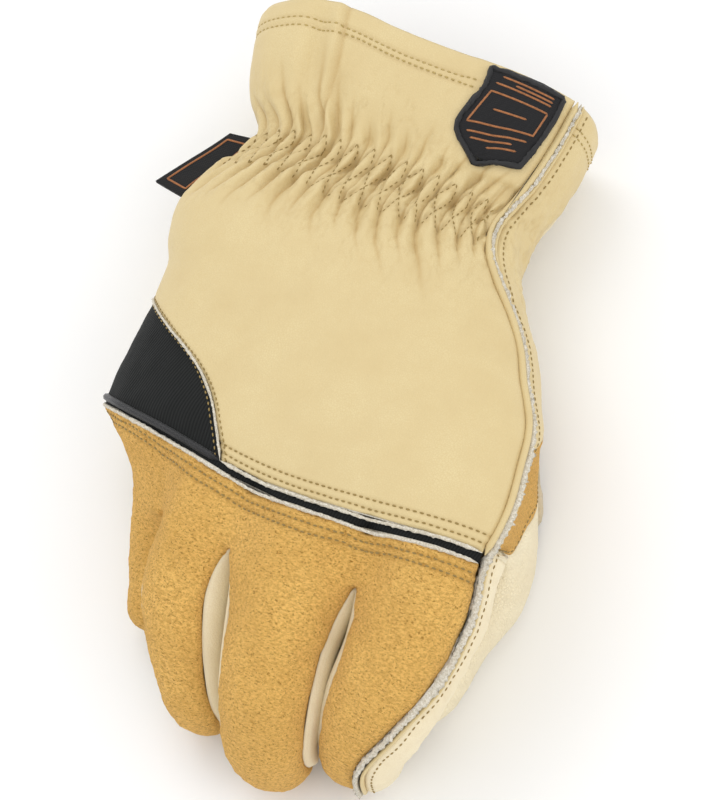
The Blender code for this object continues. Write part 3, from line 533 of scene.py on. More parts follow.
def row_share(name, row):
    """Entry of the row table that is a share."""
    return np.clip(row_value(name, row), 0.0, 1.0)


def row_place(share, row):
    """How far down the hand a point of a numbered row lies."""
    outseam = row_value("outseam", row)
    return outseam + (row_value("ulnar", row) - outseam) * np.asarray(share) ** ROW_BEND


def hand_point(share, row, palm):
    """Point of the hand on a numbered row."""
    return body_skin(share, row_place(share, row), palm)


def thumb_base(row, upper, step):
    """Point on the thumb's base, from the palm's opening (0) to the thumb's first ring (1)."""
    start = hand_point(row_share("side_panel" if upper else "palm_start", row), row, True)
    inner_row = np.clip(row, HOLE_TOP + 1, WEB_ROW)
    middle = (row_share("side_panel", inner_row) + row_share("palm_start", inner_row)) / 2.0
    inside = hand_point(middle, inner_row, True)
    angle = row_value("upper_angle" if upper else "lower_angle", row)
    end = tube(THUMB_TABLE, angle, np.zeros(angle.shape), THUMB_TIP_START)
    axis = THUMB_TABLE[1, :3] - THUMB_TABLE[0, :3]
    axis /= np.linalg.norm(axis)
    reach = np.linalg.norm(end - start, axis=-1, keepdims=True)
    late = 1.0 if upper else np.clip(row - WEB_ROW, 0.0, 1.0)
    leave = (LOWER_LEAVE + (UPPER_LEAVE - LOWER_LEAVE) * late) * np.ones(row.shape)
    toward = (inside - start) / np.linalg.norm(inside - start, axis=-1, keepdims=True)
    first = start + toward * (leave[..., None] * reach)
    second = end - axis * (THUMB_PULL * reach)
    u = step[..., None]
    v = 1.0 - u
    return start * v**3 + first * (3.0 * u * v**2) + second * (3.0 * u**2 * v) + end * u**3


GLOVE_GIRTH = 0.145     # of the back between its seams
HAND_RUN = 0.173        # hem to finger roots
MERGE = 0.00001         # points closer than this become one
EDGE_ROLL = 0.0008      # the panels turn down into their seams
EDGE_ROLL_WIDTH = 0.0011
SMALL_EDGE_ROLL = 0.0006
STRIP_BULGE = 0.0011    # the lining pushes the side strips out
VALLEY_ROUNDS = 160     # how often the suede is eased where it bridges the valleys above the finger slits
VALLEY_REACH = 0.085    # share of the girth on each side of a valley
STITCH_GROOVE = 0.0006  # half width of the groove under a row of stitches
HEM_GROOVE = 0.0007

# Patterns of the surfaces. Real pores, nap and yarns are 0.1 to 0.3 mm and too fine to show, so they are
# drawn as coarse as they need to be.
PORE = 0.0007           # pores of smooth cowhide
PEBBLE = 0.0011         # pebbles of drummed cowhide
CREASE_CELL = 0.0034    # fine creases, 3 to 4 mm apart
NAP = 0.0006            # tufts of the suede
RIB = 0.0009            # ribs of the stretch knit, just under 1 mm
WEAVE = 0.0006          # yarns of the label
MOTTLE = 0.018          # soft patches of tone left by the tanning
BUMP_DEPTH = 0.0003

# Elastic smocking across the wrist: upper and lower edge of its stitching, by share of the girth
SMOCKING_TOP = (
    (0.0, 0.230), (0.11, 0.226), (0.29, 0.214), (0.42, 0.208), (0.56, 0.226), (0.72, 0.238), (1.0, 0.245),
)
SMOCKING_FOOT = ((0.0, 0.315), (0.10, 0.326), (0.34, 0.326), (0.45, 0.330), (0.72, 0.330), (1.0, 0.330))
PLEAT_PITCH = 0.0555    # of the girth
LATTICE_RUN = 1.5       # pleats that a stitch line crosses on its way down
LATTICE_SLANT = 0.62    # from a distance round the girth to one square to a stitch line
LATTICE_GROOVE = 0.00075
LATTICE_PUFF = 0.0006   # the diamonds rise by this much, and their stitch lines sink by it

# Gathers that the elastic throws above and below the smocking: share of the girth, length above and below as
# shares of the hand's run, lean above and below, and depth
GATHERS = (
    (0.035, 0.05, 0.05, -0.10, 0.06, 0.0009),
    (0.085, 0.09, 0.06, -0.42, 0.10, 0.0013),
    (0.140, 0.11, 0.10, -0.52, 0.14, 0.0014),
    (0.200, 0.10, 0.17, -0.46, 0.10, 0.0016),
    (0.250, 0.07, 0.11, -0.30, 0.04, 0.0011),
    (0.310, 0.09, 0.15, -0.22, -0.02, 0.0013),
    (0.365, 0.06, 0.12, -0.14, -0.02, 0.0011),
    (0.420, 0.08, 0.08, -0.08, 0.02, 0.0012),
    (0.475, 0.05, 0.12, 0.00, 0.10, 0.0011),
    (0.530, 0.09, 0.09, 0.06, 0.16, 0.0013),
    (0.580, 0.15, 0.12, 0.12, 0.22, 0.0016),
    (0.635, 0.19, 0.10, 0.02, 0.30, 0.0017),
    (0.690, 0.09, 0.13, 0.16, 0.38, 0.0013),
    (0.745, 0.14, 0.11, 0.10, 0.46, 0.0014),
    (0.800, 0.07, 0.13, 0.16, 0.50, 0.0012),
    (0.860, 0.09, 0.09, 0.12, 0.46, 0.0012),
    (0.915, 0.06, 0.08, 0.10, 0.40, 0.0010),
    (0.965, 0.07, 0.06, 0.05, 0.30, 0.0009),
)
GATHER_DEPTH = 1.5      # times the depth in the table
GATHER_RIDGE = 0.60     # height of the ridge beside a gather, also times that depth
GATHER_WANDER = 0.006   # of the girth
GATHER_WIDTH = 0.0011   # half width at the smocking
GATHER_FLARE = (0.022, 0.020)   # how fast it widens above and below
CUFF_FOLD = ((0.0, 0.622), (0.09, 0.605), (0.16, 0.611), (0.225, 0.640))     # share of the girth by level
CUFF_FOLD_DEPTH = 0.0012

# Rows of stitches: levels at the hem, and distances from the edges of the back panel and of the suede
HEM_STITCH_ROWS = (0.040, 0.054)
HEM_THICKNESS = 0.0005
EDGE_STITCH_ROWS = (0.0026, 0.0052)
SUEDE_STITCH_ROWS = (0.0028, 0.0050)
HEM_STITCH_START = 0.235        # share of the girth where the label ends
SMOCKING_PITCH = 0.0020
SMOCKING_STITCH = 0.0013

# Ridges laid along paths, such as raw edges and piping
RIDGE_PITCH = 0.0007
RIDGE_TIP = 0.15        # share of its section that is left at a ridge's ends
OUTSEAM_PITCH = 0.0006
COPPER_PITCH = 0.0005
STEADY_REACH = 8        # neighbours on each side that steady a path
EDGE_TUFT = 0.0009      # tufts of a raw edge
EDGE_RIDGE = 0.0006     # half width of a raw edge

# Outseam: where the lines on it stop following the hand, and per ridge its place across the seam on the hand
# and on the finger, the reach along the seam, half width, height and tuft size
HAND_PART = 0.85
OUTSEAM_RIDGE = ((0.36, 0.74, 1.0, 0.0008, 0.0021, EDGE_TUFT),)
OUTSEAM_LIPS = (
    (0.78, 0.78, 0.56, 0.0009, 0.0014, 0.0),
    (0.05, 0.05, 1.0, 0.0006, 0.0010, 0.0),
)

# Label and side tag
LABEL_THICKNESS = 0.0009
LABEL_LIFT = 0.0013
LABEL_ROUNDS = 40       # how often the label is eased where it lies over creases
LABEL_CALM = (0.280, 0.200)     # share and level up to which it holds the leather flat
LABEL_CALM_FADE = (0.030, 0.015)
LABEL_CORNER = 2.0 / 3.0        # of the way down, where its sides turn inward
BORDER_INSET = 0.03
TAG_THICKNESS = 0.0014
TAG_LIFT = 0.0007

# Plain copper bars: level, and first and last share of the label's width. Frames: corners.
LABEL_BARS = (
    (0.13, 0.14, 0.80),
    (0.19, 0.14, 0.62),
    (0.25, 0.14, 0.86),
    (0.49, 0.30, 0.70),
    (0.70, 0.16, 0.84),
    (0.76, 0.30, 0.84),
    (0.82, 0.22, 0.66),
)
LABEL_FRAME = [(0.14, 0.36), (0.86, 0.36), (0.86, 0.62), (0.14, 0.62)]
TAG_FRAME = [(0.25, 0.10), (0.85, 0.10), (0.85, 0.90), (0.25, 0.90)]
COPPER_HALF = 0.00035   # half width of a copper line
COPPER_RISE = 0.0002

# Camera: what it looks at, the directions from there to it and up, and its distance and lens
TARGET = (0.0, -0.025, 0.028)
CAMERA_BACK = (0.3273, -0.2922, 0.8987)
CAMERA_UP = (-0.2673, 0.8836, 0.3844)
CAMERA_DISTANCE = 1.3
LENS = 195.0
LENS_SHIFT = 0.0156

FLOOR_SIZE = 3.0
FLOOR_GAP = 0.0002
LAMPS = (
    ("key_light", (-0.5, 0.5, 1.0), 0.7, 2.6),
    ("fill_light", (0.9, -0.3, 0.6), 0.9, 2.0),
)
SHADOW = (0.0, 0.0, 0.0, 1.0)


def linear(hex_colour):
    """Linear colour of an sRGB hex value."""
    parts = [int(hex_colour[i:i + 2], 16) / 255.0 for i in (1, 3, 5)]
    parts = [part / 12.92 if part <= 0.04045 else ((part + 0.055) / 1.055) ** 2.4 for part in parts]
    return (*parts, 1.0)


def size_property(label, text, default):
    """Length that a user may change."""
    return bpy.props.FloatProperty(name=label, description=text, default=default, min=0.0, precision=5,
                                   subtype="DISTANCE", unit="LENGTH")


def colour_property(label, text, hex_colour):
    """Colour that a user may change."""
    return bpy.props.FloatVectorProperty(name=label, description=text, default=linear(hex_colour), size=4,
                                         min=0.0, max=1.0, subtype="COLOR")


class GloveSizes(bpy.types.PropertyGroup):
    """Sizes of the glove's leather, stitches and trim."""

    wall: size_property("Wall", "Thickness of leather and lining together", 0.0016)
    stitch_pitch: size_property("Stitch pitch", "Distance from one stitch to the next", 0.0021)
    stitch_length: size_property("Stitch length", "Length of thread that shows", 0.0014)
    thread: size_property("Thread", "Thickness of the sewing thread", 0.0006)
    piping_radius: size_property("Piping radius", "Radius of the piping under the insert", 0.0011)
    border_radius: size_property("Label border", "Radius of the overlocked border of the label", 0.0009)


class GloveColours(bpy.types.PropertyGroup):
    """Colours of the glove's materials."""

    leather: colour_property("Grain leather", "Even tone of the grain leather", "#DBC897")
    palm_leather: colour_property("Palm leather", "Paler tone of the palm and the thumb", "#EEE2C2")
    # Leather shade: colour of the random mottle and the pores, and of the shade painted into creases, folds
    # and stitch grooves.
    leather_shade: colour_property("Leather shade", "Tone that settles in the creases", "#AE8743")
    suede: colour_property("Suede", "Golden tone of the suede", "#FFCF75")
    suede_speck: colour_property("Suede speck", "Darker fibres of the suede", "#BC8432")
    fabric: colour_property("Stretch fabric", "Black of the knuckle insert", "#1D1F1E")
    fabric_shade: colour_property("Fabric shade", "Black between its ribs", "#101111")
    raw_edge: colour_property("Raw edge", "Pale fibres of a cut edge", "#E9E4D8")
    raw_edge_shade: colour_property("Raw edge shade", "Shade between its tufts", "#B8AD96")
    thread: colour_property("Thread", "Olive brown sewing thread", "#A58A4A")
    pale_thread: colour_property("Hem thread", "Pale golden thread of the hem", "#C4AA66")
    weave: colour_property("Label weave", "Black of the woven label and tag", "#1B1B1D")
    copper: colour_property("Copper yarn", "Metallic yarn of the label's border", "#B4764A")
    lining: colour_property("Lining", "Fleece lining", "#D8C6A4")
    floor: colour_property("Floor", "Plain pale floor", "#F7F7F7")


def along_table(table, where):
    """Second column of a two-column table, at a place in the first."""
    rows = np.array(table)
    return np.interp(where, rows[:, 0], rows[:, 1])


def add_node(tree, kind, sockets=None, links=None, **settings):
    """Add one node with its settings, the values of its sockets and the outputs that feed it."""
    node = tree.nodes.new(kind)
    for name, value in settings.items():
        setattr(node, name, value)
    for name, value in (sockets or {}).items():
        node.inputs[name].default_value = value
    for name, source in (links or {}).items():
        tree.links.new(source, node.inputs[name])
    return node


def new_material(name, roughness, sheen=0.0, specular=0.5):
    """Material and its tree and shader, whose even values are set on the shader's own sockets."""
    made = bpy.data.materials.new(name)
    made.use_nodes = True
    shader = made.node_tree.nodes["Principled BSDF"]
    shader.inputs["Roughness"].default_value = roughness
    shader.inputs["Sheen Weight"].default_value = sheen
    shader.inputs["Sheen Roughness"].default_value = 0.6
    shader.inputs["Specular IOR Level"].default_value = specular
    return made, made.node_tree, shader


def blended(tree, factor, first, second):
    """Colour between two, each given as a colour or as an output."""
    mix = add_node(tree, "ShaderNodeMix", data_type="RGBA")
    tree.links.new(factor, mix.inputs[0])
    for socket, value in ((mix.inputs[6], first), (mix.inputs[7], second)):
        if isinstance(value, bpy.types.NodeSocket):
            tree.links.new(value, socket)
        else:
            socket.default_value = tuple(value)
    return mix.outputs[2]


def stretched(tree, output, low, high):
    """Output stretched from a range to 0 and 1."""
    node = add_node(tree, "ShaderNodeMapRange", {"From Min": low, "From Max": high}, {"Value": output})
    return node.outputs["Result"]


def bumped(tree, shader, layers):
    """Stack bump layers on the shader: height output, strength, depth in metres."""
    normal = None
    for height, strength, depth in layers:
        bump = add_node(tree, "ShaderNodeBump", {"Strength": strength, "Distance": depth},
                        {"Height": height})
        if normal is not None:
            tree.links.new(normal, bump.inputs["Normal"])
        normal = bump.outputs["Normal"]
    tree.links.new(normal, shader.inputs["Normal"])


def object_place(tree):
    """Place on the object, in metres."""
    return add_node(tree, "ShaderNodeTexCoord").outputs["Object"]


def between(first, second, share):
    """Colour between two colours."""
    return tuple(a + (b - a) * share for a, b in zip(first, second))


def grain_leather(name, colours, light, pebble=0.35, cell=PORE, pore_tone=0.10, depth=BUMP_DEPTH / 2.0,
                  roughness=0.52):
    """Drummed cowhide, grain side out: closed satin surface, fine pores, and shade painted into the creases
    and grooves of the relief.
    """
    made, tree, shader = new_material(name, roughness, sheen=0.05, specular=0.35)
    place = object_place(tree)
    mottle = add_node(tree, "ShaderNodeTexNoise", {"Scale": 1.0 / MOTTLE, "Detail": 5.0, "Roughness": 0.6},
                      {"Vector": place})
    fine = add_node(tree, "ShaderNodeTexNoise", {"Scale": 1.0 / (4.0 * PORE), "Detail": 4.0},
                    {"Vector": place})
    pores = add_node(tree, "ShaderNodeTexVoronoi", {"Scale": 1.0 / cell}, {"Vector": place},
                     feature="DISTANCE_TO_EDGE")
    creases = add_node(tree, "ShaderNodeTexVoronoi", {"Scale": 1.0 / CREASE_CELL}, {"Vector": place},
                       feature="DISTANCE_TO_EDGE")
    tone = add_node(tree, "ShaderNodeAttribute", attribute_name="tone")
    light = tuple(light)
    shade = tuple(colours.leather_shade)
    patches = stretched(tree, mottle.outputs["Fac"], 0.30, 0.70)
    base = blended(tree, patches, light, between(light, shade, 0.22))
    porous = blended(tree, stretched(tree, pores.outputs["Distance"], 0.16, 0.0), base,
                     between(light, shade, 2.0 * pore_tone))
    # Painted shade: the tone attribute draws the leather toward its shade colour in creases, folds and stitch
    # grooves.
    with_painted_shade = blended(tree, tone.outputs["Fac"], porous, shade)
    tree.links.new(with_painted_shade, shader.inputs["Base Color"])
    bumped(tree, shader, [
        (fine.outputs["Fac"], 0.25, BUMP_DEPTH),
        (stretched(tree, creases.outputs["Distance"], 0.0, 0.12), 0.05, BUMP_DEPTH),
        (stretched(tree, pores.outputs["Distance"], 0.0, 0.25), pebble, depth),
    ])
    return made


def split_suede(name, colours, dark=0.0):
    """Split cowhide, flesh side out: a golden matt nap, speckled where the fibres part and lie over, with
    shade painted into its stitch grooves.
    """
    made, tree, shader = new_material(name, 1.0, sheen=0.08, specular=0.10)
    place = object_place(tree)
    lie = add_node(tree, "ShaderNodeMapping", {"Scale": (0.55, 1.0, 1.0), "Rotation": (0.0, 0.0, 0.5)},
                   {"Vector": place}).outputs["Vector"]
    mottle = add_node(tree, "ShaderNodeTexNoise", {"Scale": 1.0 / MOTTLE, "Detail": 4.0}, {"Vector": place})
    nap = add_node(tree, "ShaderNodeTexNoise",
                   {"Scale": 1.0 / (1.1 * NAP), "Detail": 6.0, "Roughness": 0.75}, {"Vector": lie})
    speckle = add_node(tree, "ShaderNodeTexNoise", {"Scale": 1.0 / NAP, "Detail": 3.0, "Roughness": 0.8},
                       {"Vector": lie})
    tone = add_node(tree, "ShaderNodeAttribute", attribute_name="tone")
    speck = tuple(colours.suede_speck)
    light = between(tuple(colours.suede), speck, dark)
    patches = stretched(tree, mottle.outputs["Fac"], 0.35, 0.65)
    base = blended(tree, patches, light, between(light, speck, 0.22))
    parted = stretched(tree, nap.outputs["Fac"], 0.40, 0.58)
    tufts = blended(tree, parted, between(light, speck, 0.62), base)
    flecks = stretched(tree, speckle.outputs["Fac"], 0.56, 0.66)
    specks = blended(tree, flecks, tufts, between(speck, SHADOW, 0.25))
    # Painted shade: the tone attribute draws the suede toward a darkened speck colour in its stitch grooves.
    with_painted_shade = blended(tree, tone.outputs["Fac"], specks, between(speck, SHADOW, 0.35))
    tree.links.new(with_painted_shade, shader.inputs["Base Color"])
    bumped(tree, shader, [
        (nap.outputs["Fac"], 1.0, 3.0 * BUMP_DEPTH),
        (speckle.outputs["Fac"], 0.6, BUMP_DEPTH),
    ])
    return made


def ribbed_fabric(name, colours):
    """Black polyester stretch knit: fine ribs a millimetre apart that catch a dull light."""
    made, tree, shader = new_material(name, 0.75, sheen=0.03, specular=0.15)
    place = add_node(tree, "ShaderNodeUVMap").outputs["UV"]
    turned = add_node(tree, "ShaderNodeMapping", {"Rotation": (0.0, 0.0, 0.35)}, {"Vector": place})
    ribs = add_node(tree, "ShaderNodeTexWave", {"Scale": math.pi / 10.0 / RIB, "Distortion": 0.4},
                    {"Vector": turned.outputs["Vector"]}, bands_direction="X")
    fuzz = add_node(tree, "ShaderNodeTexNoise", {"Scale": 1.0 / WEAVE, "Detail": 3.0}, {"Vector": place})
    tree.links.new(blended(tree, ribs.outputs["Fac"], colours.fabric_shade, colours.fabric),
                   shader.inputs["Base Color"])
    bumped(tree, shader, [
        (ribs.outputs["Fac"], 0.4, BUMP_DEPTH),
        (fuzz.outputs["Fac"], 0.3, BUMP_DEPTH / 2.0),
    ])
    return made


def woven_yarn(name, colour, roughness=0.85, metallic=0.0):
    """Woven label fabric: dense crossing yarns, matt, or with a glint where the yarn is metallic."""
    made, tree, shader = new_material(name, roughness, sheen=0.10, specular=0.30)
    shader.inputs["Metallic"].default_value = metallic
    cells = add_node(tree, "ShaderNodeTexVoronoi", {"Scale": 1.0 / WEAVE, "Randomness": 0.25},
                     {"Vector": object_place(tree)})
    dark = between(tuple(colour), SHADOW, 0.45)
    tree.links.new(blended(tree, cells.outputs["Distance"], colour, dark), shader.inputs["Base Color"])
    bumped(tree, shader, [(cells.outputs["Distance"], 0.6, BUMP_DEPTH)])
    return made


def cut_edge(name, colours):
    """Raw edge of split leather: pale fibres that stand up in tufts."""
    made, tree, shader = new_material(name, 1.0, sheen=0.05, specular=0.05)
    tufts = add_node(tree, "ShaderNodeTexNoise", {"Scale": 1.0 / NAP, "Detail": 5.0, "Roughness": 0.8},
                     {"Vector": object_place(tree)})
    parted = stretched(tree, tufts.outputs["Fac"], 0.38, 0.62)
    base = blended(tree, parted, colours.raw_edge_shade, colours.raw_edge)
    tree.links.new(base, shader.inputs["Base Color"])
    bumped(tree, shader, [(tufts.outputs["Fac"], 0.5, BUMP_DEPTH)])
    return made


def spun_thread(name, colour):
    """Twisted polyester sewing thread with a slight gloss."""
    made, tree, shader = new_material(name, 0.55, sheen=0.10, specular=0.4)
    twist = add_node(tree, "ShaderNodeTexNoise", {"Scale": 1.0 / WEAVE, "Detail": 2.0},
                     {"Vector": object_place(tree)})
    dark = between(tuple(colour), SHADOW, 0.4)
    tree.links.new(blended(tree, twist.outputs["Fac"], dark, colour), shader.inputs["Base Color"])
    return made


def fleece(name, colours):
    """Brushed polyester fleece lining: soft, pale and matt."""
    made, tree, shader = new_material(name, 1.0, sheen=0.4, specular=0.10)
    tufts = add_node(tree, "ShaderNodeTexNoise", {"Scale": 1.0 / (3.0 * NAP), "Detail": 5.0},
                     {"Vector": object_place(tree)})
    dark = between(tuple(colours.lining), SHADOW, 0.35)
    tree.links.new(blended(tree, tufts.outputs["Fac"], dark, colours.lining), shader.inputs["Base Color"])
    bumped(tree, shader, [(tufts.outputs["Fac"], 0.8, 3.0 * BUMP_DEPTH)])
    return made


def made_once(maker, name, *args, **settings):
    """Material by name, made the first time it is asked for."""
    known = bpy.data.materials.get(name)
    return known if known else maker(name, *args, **settings)


class Patch:
    """A grid that becomes part of a piece: its segments, where its points lie, and which way it faces."""

    def __init__(self, columns, rows, place, facing=1):
        self.columns = columns
        self.rows = rows
        self.place = place
        self.facing = facing


def show_piece(obj, node, slot):
    """Put a finished object in the scene, on the glove's one body."""
    bpy.context.scene.collection.objects.link(obj)
    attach(obj, "root")
    if node:
        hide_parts(node)
    return obj


def mesh_of(name, work, materials):
    """Mesh with its materials, from a bmesh that is then freed."""
    mesh = bpy.data.meshes.new(name)
    work.to_mesh(mesh)
    work.free()
    for material in materials:
        mesh.materials.append(material)
    return mesh


def lay_patches(sheet, patches, share_layer, row_layer):
    """Bend a grid for each patch onto the glove's skin and join them."""
    for patch in patches:
        made = bmesh.ops.create_grid(sheet, x_segments=patch.columns, y_segments=patch.rows,
                                     size=0.5)["verts"]
        across = np.array([vertex.co.x for vertex in made]) + 0.5
        down = np.array([vertex.co.y for vertex in made]) + 0.5
        points, share, row = patch.place(across, down)
        for vertex, point, s, r in zip(made, points, share, row):
            vertex.co = point
            vertex[share_layer] = s
            vertex[row_layer] = r
        if patch.facing < 0:
            faces = {face for vertex in made for face in vertex.link_faces}
            bmesh.ops.reverse_faces(sheet, faces=list(faces))
    bmesh.ops.remove_doubles(sheet, verts=sheet.verts, dist=MERGE)
    bmesh.ops.dissolve_degenerate(sheet, dist=MERGE, edges=sheet.edges)


def raise_relief(sheet, relief, share_layer, row_layer):
    """Move a sheet along its normals by its relief, above the table, and return the tone of each point, the
    shade painted into its creases and grooves.
    """
    sheet.normal_update()
    vertices = list(sheet.verts)
    points = np.array([vertex.co for vertex in vertices])
    normals = np.array([vertex.normal for vertex in vertices])
    share = np.array([vertex[share_layer] for vertex in vertices])
    row = np.array([vertex[row_layer] for vertex in vertices])
    border = [vertex.co for vertex in vertices if vertex.is_boundary]
    tree = kdtree.KDTree(len(border))
    for number, place in enumerate(border):
        tree.insert(place, number)
    tree.balance()
    edge = np.array([tree.find(vertex.co)[2] for vertex in vertices])
    depth, tone = relief(share, row, points, edge)
    points = points + normals * depth[:, None]
    points[:, 2] = np.maximum(points[:, 2], 0.0)
    for vertex, point in zip(vertices, points):
        vertex.co = point
    return tone


def leather_piece(name, patches, relief, materials, node, slot, thickness, ease=None):
    """One piece of leather or cloth: lay out its patches, raise its relief and give it a wall."""
    sheet = bmesh.new()
    share_layer = sheet.verts.layers.float.new("share")
    row_layer = sheet.verts.layers.float.new("row")
    lay_patches(sheet, patches, share_layer, row_layer)
    if ease:
        ease(sheet, share_layer, row_layer)
    tone = raise_relief(sheet, relief, share_layer, row_layer)
    uv_layer = sheet.loops.layers.uv.new("UVMap")
    for face in sheet.faces:
        face.smooth = True
        for loop in face.loops:
            loop[uv_layer].uv = (loop.vert[share_layer] * GLOVE_GIRTH, loop.vert[row_layer] * HAND_RUN)
    mesh = mesh_of(name, sheet, materials)
    # The tone attribute carries the painted shade of creases, folds and grooves to the material.
    values = mesh.attributes.new("tone", "FLOAT", "POINT")
    values.data.foreach_set("value", np.clip(tone, 0.0, 1.0).astype(np.float32))
    obj = bpy.data.objects.new(name, mesh)
    wall = obj.modifiers.new("Wall", "SOLIDIFY")
    wall.thickness = thickness
    wall.offset = -1.0
    wall.material_offset = min(len(materials) - 1, 1)
    wall.material_offset_rim = min(len(materials) - 1, 2)
    return show_piece(obj, node, slot)


def trim_piece(name, trim, materials, slot, node=None):
    """Smooth object of a finished bmesh of stitches or trim."""
    for face in trim.faces:
        face.smooth = True
    return show_piece(bpy.data.objects.new(name, mesh_of(name, trim, materials)), node, slot)


def outward_piece(name, trim, material, slot, node=None):
    """Object of a bmesh of closed ridges, with their faces turned outward."""
    bmesh.ops.recalc_face_normals(trim, faces=trim.faces)
    return trim_piece(name, trim, [material], slot, node)


def edge_roll(edge, depth=EDGE_ROLL, width=EDGE_ROLL_WIDTH):
    """Depth by which a panel turns down at its border."""
    return -depth * np.exp(-((edge / width) ** 2))


def soft_noise(points, size, seed=0.0, octaves=4):
    """Smooth noise at each point, from about -1 to 1."""
    shift = Vector((seed, 2.0 * seed, -seed))
    return np.array([noise.fractal(Vector(point) / size + shift, 0.7, 2.0, octaves) for point in points])


def crease_noise(points, size, seed=0.0):
    """Thin wandering creases, from 0 to 1."""
    return np.exp(-((soft_noise(points, size, seed, 3) / 0.10) ** 2))


def add_gathers(depth, dark, share, row, points, top, foot):
    """Press the gathers above and below the smocking into a relief, with a soft ridge beside each, and paint
    shade into their valleys.
    """
    wander = GATHER_WANDER * soft_noise(points, 0.012, 3.0, 2)
    over = np.maximum(top - row, 0.0)
    under = np.maximum(row - foot, 0.0)
    for place, above, below, lean_above, lean_below, deep in GATHERS:
        middle = place + lean_above * over + lean_below * under + wander
        across = (share - middle) * GLOVE_GIRTH
        width = GATHER_WIDTH + GATHER_FLARE[0] * over + GATHER_FLARE[1] * under
        fade = np.where(row < top, smooth(1.0 - over / above), smooth(1.0 - under / below))
        depth -= GATHER_DEPTH * deep * np.exp(-(np.abs(across / width) ** 1.4)) * fade
        depth += GATHER_RIDGE * deep * np.exp(-(((across - 2.2 * width) / (1.4 * width)) ** 2)) * fade
        seen = np.clip(1.4 * fade, 0.0, 1.0) * (fade > 0.0)
        # Painted shade along the valley of each gather.
        dark += 0.50 * np.exp(-((across / (0.30 * width)) ** 2)) * seen


def add_smocking(depth, dark, share, points, band):
    """Puff the smocked diamonds of a relief out between their stitch lines, with fine creases round them, and
    paint shade into the stitch lines and the creases.
    """
    inside = smooth((band + 0.10) / 0.16) * smooth((1.10 - band) / 0.16)
    lines = np.zeros(share.shape)
    for sign in (-1.0, 1.0):
        phase = share / PLEAT_PITCH + sign * LATTICE_RUN * band
        away = np.abs(phase - np.round(phase)) * PLEAT_PITCH * GLOVE_GIRTH * LATTICE_SLANT
        lines = np.maximum(lines, np.exp(-((away / LATTICE_GROOVE) ** 2)))
    pleats = 0.0003 * np.cos(4.0 * np.pi * share / PLEAT_PITCH)
    depth += inside * (LATTICE_PUFF - 2.0 * LATTICE_PUFF * lines + pleats)
    # Painted shade in the sunk stitch lines.
    dark += 0.14 * inside * lines
    near = np.exp(-((np.maximum(np.abs(band - 0.5) - 0.5, 0.0) / 1.1) ** 2))
    fine = crease_noise(points * np.array([1.0, 0.45, 1.0]), 0.0055, 11.0)
    depth -= 0.00035 * near * fine
    # Painted shade in the fine creases.
    dark += 0.13 * near * fine


def add_cuff_fold(depth, dark, share, row):
    """Step a relief down at the fold that runs through the cuff, and paint shade into its crease."""
    fold = (share - along_table(CUFF_FOLD, row)) * GLOVE_GIRTH
    fade = smooth((0.235 - row) / 0.05)
    depth += fade * (CUFF_FOLD_DEPTH * np.tanh(fold / 0.0016) - 0.0010 * np.exp(-((fold / 0.0012) ** 2)))
    # Painted shade in the crease of the fold.
    dark += 0.30 * fade * np.exp(-(((fold + 0.0006) / 0.0010) ** 2))


def add_grooves(depth, dark, distances, deep, tone, width=STITCH_GROOVE, where=1.0):
    """Press a groove into a relief under each row of stitches, by the distance from it, and paint shade of
    the given tone into it.
    """
    for distance in distances:
        groove = np.exp(-((distance / width) ** 2)) * where
        depth -= deep * groove
        # Painted shade in the groove.
        dark += tone * groove


def back_relief(share, row, points, edge):
    """Gathers, smocked diamonds, hem and stitch grooves of the back, and the shade painted into them."""
    top = along_table(SMOCKING_TOP, share)
    foot = along_table(SMOCKING_FOOT, share)
    depth = np.zeros(share.shape)
    dark = np.zeros(share.shape)
    add_gathers(depth, dark, share, row, points, top, foot)
    add_smocking(depth, dark, share, points, (row - top) / (foot - top))
    add_cuff_fold(depth, dark, share, row)
    add_grooves(depth, dark, [(row - line) * HAND_RUN for line in HEM_STITCH_ROWS], 0.00045, 0.15,
                HEM_GROOVE)
    depth += HEM_THICKNESS * smooth((0.062 - row) / 0.02)
    foot_edge = (row_place(share, np.full(share.shape, STRIP_TOP)) - row) * HAND_RUN
    add_grooves(depth, dark, [foot_edge - line for line in EDGE_STITCH_ROWS], 0.00035, 0.12)
    depth += 0.0006 * soft_noise(points, 0.030, 5.0, 3)
    calm = smooth((LABEL_CALM[0] - share) / LABEL_CALM_FADE[0])
    flat = 0.95 * calm * smooth((LABEL_CALM[1] - row) / LABEL_CALM_FADE[1])
    return depth * (1.0 - flat) + edge_roll(edge), dark


def smooth_sheet(sheet, vertices, rounds):
    """Ease some points of a sheet toward their neighbours, a number of times."""
    for _ in range(rounds):
        bmesh.ops.smooth_vert(sheet, verts=vertices, factor=0.5, use_axis_x=True, use_axis_y=True,
                              use_axis_z=True)


def bridge_valleys(sheet, share_layer, row_layer):
    """Ease the suede between the knuckles, so that it bridges the valleys down to the finger slits."""
    inner = [vertex for vertex in sheet.verts
             if not vertex.is_boundary and vertex[row_layer] < 1.002
             and min(abs(vertex[share_layer] - knot) for knot in BACK_KNOTS[1:-1]) < VALLEY_REACH]
    smooth_sheet(sheet, inner, VALLEY_ROUNDS)


def suede_relief(share, row, points, edge):
    """Soft dents, an uneven nap and two stitch grooves below the raw edge, with shade painted into the
    grooves.
    """
    depth = 0.0007 * soft_noise(points, 0.016, 21.0, 4) + 0.00012 * soft_noise(points, 0.0018, 8.0, 3)
    dark = np.zeros(share.shape)
    top_edge = (row - row_place(share, np.full(share.shape, STRIP_BOTTOM))) * HAND_RUN
    # The stitch grooves get painted shade.
    add_grooves(depth, dark, [top_edge - line for line in SUEDE_STITCH_ROWS], 0.00035, 0.30,
                where=row < 0.97)
    return depth + edge_roll(edge, SMALL_EDGE_ROLL), dark


